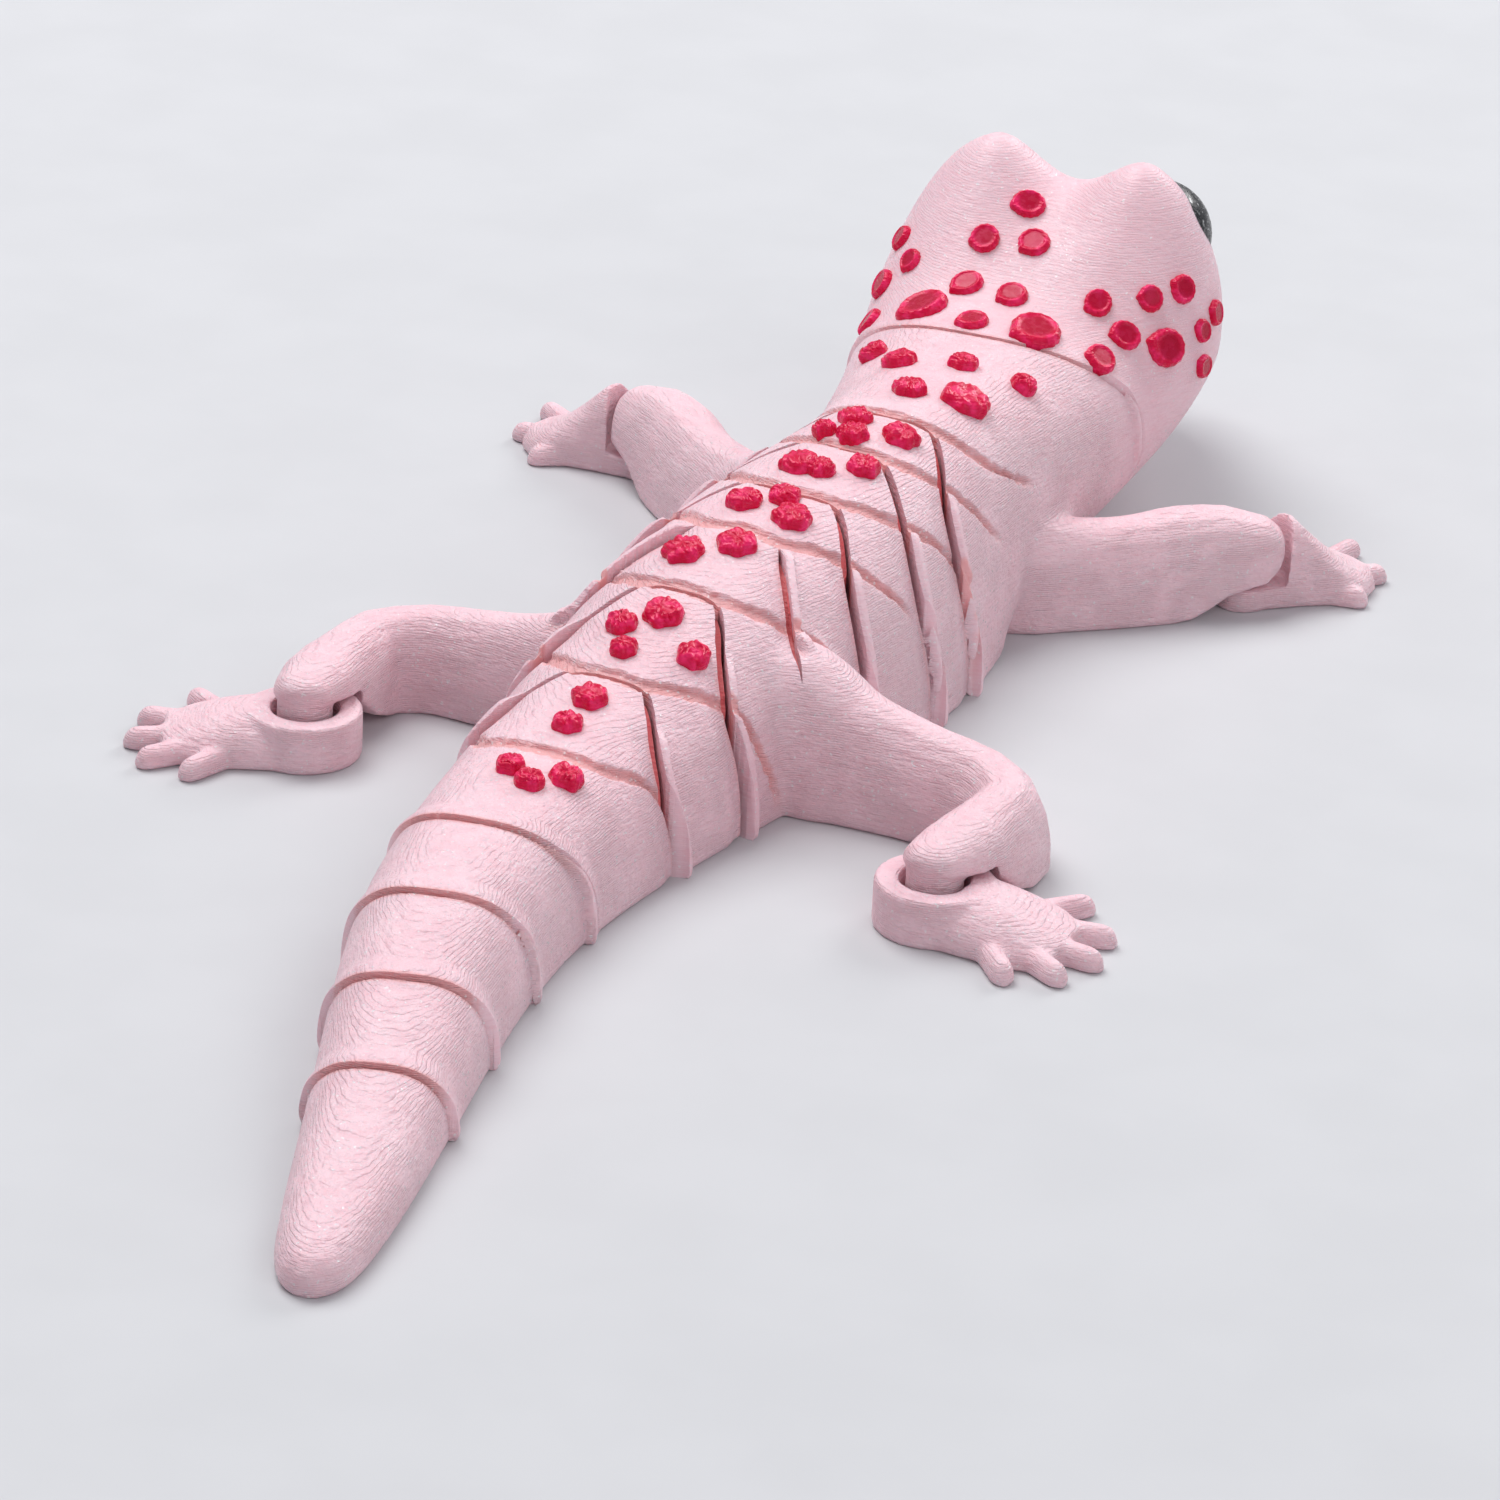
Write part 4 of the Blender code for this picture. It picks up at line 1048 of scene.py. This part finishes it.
class GECKO_OT_whole_skin(bpy.types.Operator):
    """Shape the body, head and legs as one skin with its grooves and ribs"""
    bl_idname = "gecko.whole_skin"
    bl_label = "Shape Whole Skin"

    def execute(self, context):
        skin = context.scene.gecko_skin
        whole = join("whole_skin", body_tube(), rooted_legs())
        apply_modifier(whole, "REMESH", mode="VOXEL", voxel_size=skin.detail, adaptivity=0.0)
        apply_modifier(whole, "SMOOTH", factor=0.5, iterations=6)
        points = coordinates(whole)
        distance, right, _, full = chart(points)
        root = 1 - smooth_step(np.abs(full - 1.12), 0.16, 0.4)
        root *= smooth_step(np.abs(right), 6.0, 10.0) * smooth_step(points[:, 2], 1.0, 2.5)
        hind = smooth_step(distance, 98.0, 101.0) * (1 - smooth_step(distance, 119.0, 122.0))
        fore = smooth_step(distance, 144.0, 147.0) * (1 - smooth_step(distance, 172.0, 176.0))
        soften(whole, root * np.maximum(hind, fore), 140)
        out = Relief(coordinates(whole), skin).out()
        points = coordinates(whole) + vertex_normals(whole) * out[:, None]
        points[:, 2] = np.maximum(points[:, 2], 0.0)
        place_vertices(whole, points)
        for material in (skin_material(), seam_material()):
            whole.data.materials.append(material)
        whole.hide_render = True
        return {"FINISHED"}


class GECKO_OT_spots(bpy.types.Operator):
    """Set the raised magenta spots on the skin"""
    bl_idname = "gecko.spots"
    bl_label = "Add Raised Spots"

    def execute(self, context):
        settings = context.scene.gecko_spots
        whole = context.scene.objects["whole_skin"]
        self.tree = BVHTree.FromObject(whole, context.evaluated_depsgraph_get())
        bpy.ops.mesh.primitive_uv_sphere_add(segments=56, ring_count=28, radius=1)
        self.master = context.view_layer.objects.active
        self.dice = random.Random(5)
        for body, rows in BODY_SPOTS.items():
            spots = [self.add_spot(row + (None,), settings, True) for row in rows]
            self.finish_spots(body, spots)
        spots = [self.add_spot(row, settings, False) for row in HEAD_SPOTS]
        self.finish_spots("head", spots)
        bpy.data.objects.remove(self.master)
        return {"FINISHED"}

    def finish_spots(self, body, spots):
        piece = join("spots_" + body, *spots)
        piece.data.materials.append(spot_material())
        finish_piece(piece, body, [], 60.0)

    def add_spot(self, row, settings, lumpy):
        distance, right, radius, height = row
        base, normal, ahead = self.seat(distance, right, height)
        side = ahead.cross(normal)
        spot = copy_of(self.master, "spot")
        unit = coordinates(spot) * MM
        rise = settings.body_rise / MM if lumpy else settings.head_rise / MM + 0.25 * radius
        local = lumpy_shape(unit, self.dice) if lumpy else button_shape(unit, self.dice)
        local = local * (radius * 1.06, radius * 1.06, 1.0)
        upper = local[:, 2] > 0
        local[:, 2] *= np.where(upper, rise, settings.root / MM)
        axes = np.array([side, ahead, normal])
        place_vertices(spot, np.array(base) / MM + local @ axes)
        reach = np.hypot(local[:, 0], local[:, 1]) / radius
        dish = (1 - smooth_step(reach, 0.55, 0.8)) * upper * (0.15 if lumpy else 1.0)
        attribute = spot.data.attributes.new("dish", "FLOAT", "POINT")
        attribute.data.foreach_set("value", dish.astype(np.float32))
        return spot

    def seat(self, distance, right, height):
        """Place on the skin, its normal and the headward direction along it."""
        x, y = plan_places(distance, right)
        heading = float(np.interp(distance, MARKS, HEADINGS))
        forward = Vector((math.cos(heading), math.sin(heading), 0.0))
        rightward = Vector((math.sin(heading), -math.cos(heading), 0.0))
        if height is None:
            start, aim = Vector((x, y, 60.0)) * MM, Vector((0.0, 0.0, -1.0))
        else:
            middle = plan_places(distance, 0.0)
            hand = math.copysign(1.0, right)
            start = Vector((middle[0], middle[1], height)) * MM + rightward * hand * 0.05
            aim = -rightward * hand
        hits = []
        for along, across in ((0, 0), (0.8, 0), (-0.8, 0), (0, 0.8), (0, -0.8)):
            shift = forward * along + (rightward if height is None else Vector((0, 0, 1))) * across
            hit = self.tree.ray_cast(start + shift * MM, aim)
            if hit[0] is None:
                raise RuntimeError("a spot at %.1f, %.1f has no skin under it" % (distance, right))
            hits.append(hit)
        normal = sum((hit[1] for hit in hits), Vector()).normalized()
        ahead = (forward - normal * forward.dot(normal)).normalized()
        return hits[0][0], normal, ahead


def lumpy_shape(unit, dice):
    """A unit dome of thick strands laid side by side, with a ragged outline."""
    around = np.arctan2(unit[:, 1], unit[:, 0])
    reach = np.hypot(unit[:, 0], unit[:, 1])
    lean = dice.uniform(0.5, 1.1)
    shift = dice.uniform(0.0, 50.0)
    strands = dice.uniform(2.2, 3.0)
    edge = 1 + 0.05 * np.cos(6 * around + shift)
    edge += 0.1 * np.array([noise.noise(Vector((math.cos(a), math.sin(a), shift)) * 1.6) for a in around])
    full = reach ** 0.5 * edge
    x = np.cos(around) * full
    y = np.sin(around) * full
    z = np.sign(unit[:, 2]) * np.abs(unit[:, 2]) ** 0.75
    warp = np.array([noise.noise(Vector((a * 1.3, b * 1.3, shift))) for a, b in zip(x, y)])
    strand = np.abs(np.sin(math.pi * strands * (x * math.cos(lean) + y * math.sin(lean) + 0.5 * warp)))
    swell = np.array([noise.noise(Vector((a * 2.2, b * 2.2, shift + 9))) for a, b in zip(x, y)])
    upper = z > 0
    z = np.where(upper, z * (0.8 + 0.24 * strand ** 0.7 + 0.15 * swell), z)
    side = 1 + 0.08 * (strand - 0.5) * upper
    return np.column_stack([x * side, y * side, z])


def button_shape(unit, dice):
    """A unit disc with a soft rim and one small nub, as printed on the head."""
    around = np.arctan2(unit[:, 1], unit[:, 0])
    reach = np.hypot(unit[:, 0], unit[:, 1])
    shift = dice.uniform(0.0, 50.0)
    nub = math.radians(dice.uniform(215.0, 245.0))
    away = np.angle(np.exp(1j * (around - nub)))
    edge = 1 + 0.05 * np.cos(2 * around + shift) + 0.16 * np.exp(-(away / 0.25) ** 2)
    edge += 0.022 * np.cos(14 * around) * (reach > 0.6)
    full = reach ** 0.4
    rim = np.exp(-((full - 0.82) / 0.12) ** 2)
    dish = 0.78 + 0.22 * rim
    slope = 0.06 * full * np.cos(around - math.radians(50.0))
    upper = unit[:, 2] > 0
    z = np.sign(unit[:, 2]) * np.abs(unit[:, 2]) ** 0.5
    z = np.where(upper, z * (dish + slope), z)
    return np.column_stack([np.cos(around) * full * edge, np.sin(around) * full * edge, z])


class GECKO_OT_links(bpy.types.Operator):
    """Cut the skin into its jointed links"""
    bl_idname = "gecko.links"
    bl_label = "Cut Links"

    def execute(self, context):
        skin = context.scene.gecko_skin
        whole = context.scene.objects["whole_skin"]
        inner = self.sunk_copy(whole, "inner_skin", skin.groove_depth * LEDGE_DEPTH)
        core = copy_of(whole, "core")
        apply_modifier(core, "REMESH", mode="VOXEL", voxel_size=CORE_DETAIL * MM, adaptivity=0.0)
        core = self.sunk_copy(core, "core", CORE_DEPTH * MM)
        for name, rear, front in LINKS:
            link = copy_of(whole, "skin_" + name)
            tool = block("tool", link_outline(name, rear, front), BLOCK_LOW, BLOCK_TOP, 0)
            cut(link, tool, "INTERSECT")
            parts = [link, copy_of(core, "core_part")]
            tool = block("tool", link_outline(name, rear, front, True), CORE_LOW, BLOCK_TOP, 1)
            cut(parts[1], tool, "INTERSECT")
            if name == "hips":
                self.cut_blind_slits(link)
            mark_skin(link, skin)
            # The core takes full painted shade.
            deep = parts[1].data.attributes.new("deep", "FLOAT", "POINT")
            deep.data.foreach_set("value", np.ones(len(parts[1].data.vertices), np.float32))
            if name == "head":
                self.socket_eyes(link)
                bpy.data.objects.remove(parts.pop())
            if front:
                parts.append(copy_of(inner, "ledge"))
                tool = block("tool", ledge_outline(front), INNER_LOW, BLOCK_TOP, 1)
                cut(parts[-1], tool, "INTERSECT")
            link = join("skin_" + name, *parts)
            link.hide_render = False
            finish_piece(link, name, LINK_NODES.get(name, [name]))
        for obj in (whole, inner, core):
            bpy.data.objects.remove(obj)
        return {"FINISHED"}

    def sunk_copy(self, obj, name, depth):
        """A copy of a skin that lies deeper, all of the seam's material."""
        copy = copy_of(obj, name)
        apply_modifier(copy, "DISPLACE", strength=-depth, mid_level=0.0)
        copy.data.polygons.foreach_set("material_index", [1] * len(copy.data.polygons))
        return copy

    def cut_blind_slits(self, link):
        """Cut the slits without a joint on both sides, down to the core."""
        for rows in BLIND_SLITS:
            for hand in (1, -1):
                tool = block("tool", blind_outline(rows, hand), BLIND_FLOOR, BLOCK_TOP, 0)
                cut(link, tool, "DIFFERENCE")

    def socket_eyes(self, head):
        """Hollow the head round both eyes."""
        for side in ("left", "right"):
            low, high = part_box("eye_" + side)
            radius = (high.z - low.z) / 2 + SOCKET_ROOM * MM
            bpy.ops.mesh.primitive_uv_sphere_add(
                segments=96, ring_count=48, radius=radius, location=(low + high) / 2)
            bpy.ops.object.transform_apply(location=True, rotation=True, scale=True)
            tool = bpy.context.view_layer.objects.active
            for material in (skin_material(), seam_material()):
                tool.data.materials.append(material)
            cut(head, tool, "DIFFERENCE")


class GECKO_OT_feet(bpy.types.Operator):
    """Round off the four feet that turn under the legs"""
    bl_idname = "gecko.feet"
    bl_label = "Shape Feet"

    def execute(self, context):
        skin = context.scene.gecko_skin
        for kind in ("hind", "front"):
            for side in ("left", "right"):
                name = "foot_%s_%s" % (kind, side)
                foot = copy_nodes("skin_" + name, name)
                apply_modifier(foot, "REMESH", mode="VOXEL", voxel_size=skin.detail * 0.9,
                               adaptivity=0.0)
                apply_modifier(foot, "SMOOTH", factor=0.5, iterations=12)
                foot.data.materials.append(skin_material())
                for key in ("deep", "sleek"):
                    foot.data.attributes.new(key, "FLOAT", "POINT")
                finish_piece(foot, name, [name])
        return {"FINISHED"}


class GECKO_OT_eyes(bpy.types.Operator):
    """Set the glitter eyes in their sockets"""
    bl_idname = "gecko.eyes"
    bl_label = "Add Eyes"

    def execute(self, context):
        for side in ("left", "right"):
            low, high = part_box("eye_" + side)
            bpy.ops.object.select_all(action="DESELECT")
            bpy.ops.mesh.primitive_uv_sphere_add(
                segments=96, ring_count=48, radius=(high.z - low.z) / 2,
                location=(low + high) / 2)
            bpy.ops.object.transform_apply(location=True, rotation=True, scale=True)
            eye = context.view_layer.objects.active
            eye.name = "glitter_eye_" + side
            eye.data.materials.append(eye_material())
            finish_piece(eye, "head", ["eye_" + side], 60.0)
        return {"FINISHED"}


class GECKO_OT_stage(bpy.types.Operator):
    """Add the floor, the soft lights and the camera"""
    bl_idname = "gecko.stage"
    bl_label = "Set Stage"

    def execute(self, context):
        settings = context.scene.gecko_stage
        bpy.ops.mesh.primitive_plane_add(size=FLOOR_SIZE)
        floor = context.view_layer.objects.active
        floor.name = "floor"
        shader = Shader("pale_floor")
        speck = shader.ramp(shader.noise(60.0, detail=3.0), 0.3, 0.7)
        shade = [value * 0.97 for value in settings.floor_colour[:3]] + [1.0]
        colour = shader.mix(speck, tuple(settings.floor_colour), tuple(shade))
        floor.data.materials.append(shader.set(Base_Color=colour, Roughness=0.55))
        for name, (place, size, share) in LAMPS.items():
            self.add_light(name, place, size, settings.key_power * share)
        world = context.scene.world or bpy.data.worlds.new("studio")
        context.scene.world = world
        world.use_nodes = True
        background = world.node_tree.nodes["Background"]
        background.inputs["Color"].default_value = SKY_COLOUR
        background.inputs["Strength"].default_value = SKY_STRENGTH
        bpy.ops.object.camera_add(location=CAMERA_PLACE,
                                  rotation=[math.radians(turn) for turn in CAMERA_TURN])
        camera = context.view_layer.objects.active
        camera.data.lens = CAMERA_LENS
        camera.data.sensor_width = 36.0
        camera.data.clip_start = 0.01
        context.scene.camera = camera
        context.scene.view_settings.view_transform = "Standard"
        return {"FINISHED"}

    def add_light(self, name, place, size, power):
        """One square soft lamp that faces the toy."""
        bpy.ops.object.light_add(type="AREA", location=place)
        lamp = bpy.context.view_layer.objects.active
        lamp.name = name
        lamp.data.size = size
        lamp.data.energy = power
        lamp.rotation_euler = (-Vector(place)).to_track_quat("-Z", "Y").to_euler()


class GECKO_PT_panel(bpy.types.Panel):
    """Lists the toy's settings and the steps that make its pieces"""
    bl_idname = "GECKO_PT_panel"
    bl_label = "Toy Gecko"
    bl_space_type = "VIEW_3D"
    bl_region_type = "UI"
    bl_category = "Toy Gecko"

    def draw(self, context):
        for group in SETTINGS:
            settings = getattr(context.scene, group)
            for key in settings.__annotations__:
                self.layout.prop(settings, key)
        for operator in OPERATORS:
            self.layout.operator(operator.bl_idname)


SETTINGS = {"gecko_skin": SkinSettings, "gecko_spots": SpotSettings,
            "gecko_eyes": EyeSettings, "gecko_stage": StageSettings}
OPERATORS = [GECKO_OT_whole_skin, GECKO_OT_spots, GECKO_OT_links, GECKO_OT_feet,
             GECKO_OT_eyes, GECKO_OT_stage]


def register():
    for name, group in SETTINGS.items():
        bpy.utils.register_class(group)
        setattr(bpy.types.Scene, name, bpy.props.PointerProperty(type=group))
    for operator in OPERATORS:
        bpy.utils.register_class(operator)
    bpy.utils.register_class(GECKO_PT_panel)


def unregister():
    bpy.utils.unregister_class(GECKO_PT_panel)
    for operator in reversed(OPERATORS):
        bpy.utils.unregister_class(operator)
    for name, group in SETTINGS.items():
        delattr(bpy.types.Scene, name)
        bpy.utils.unregister_class(group)


def main():
    """Make every piece."""
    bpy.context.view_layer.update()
    register()
    bpy.ops.object.select_all(action="DESELECT")
    bpy.ops.gecko.whole_skin()
    bpy.ops.gecko.spots()
    bpy.ops.gecko.links()
    bpy.ops.gecko.feet()
    bpy.ops.gecko.eyes()
    bpy.ops.gecko.stage()


if __name__ == "__main__":
    main()
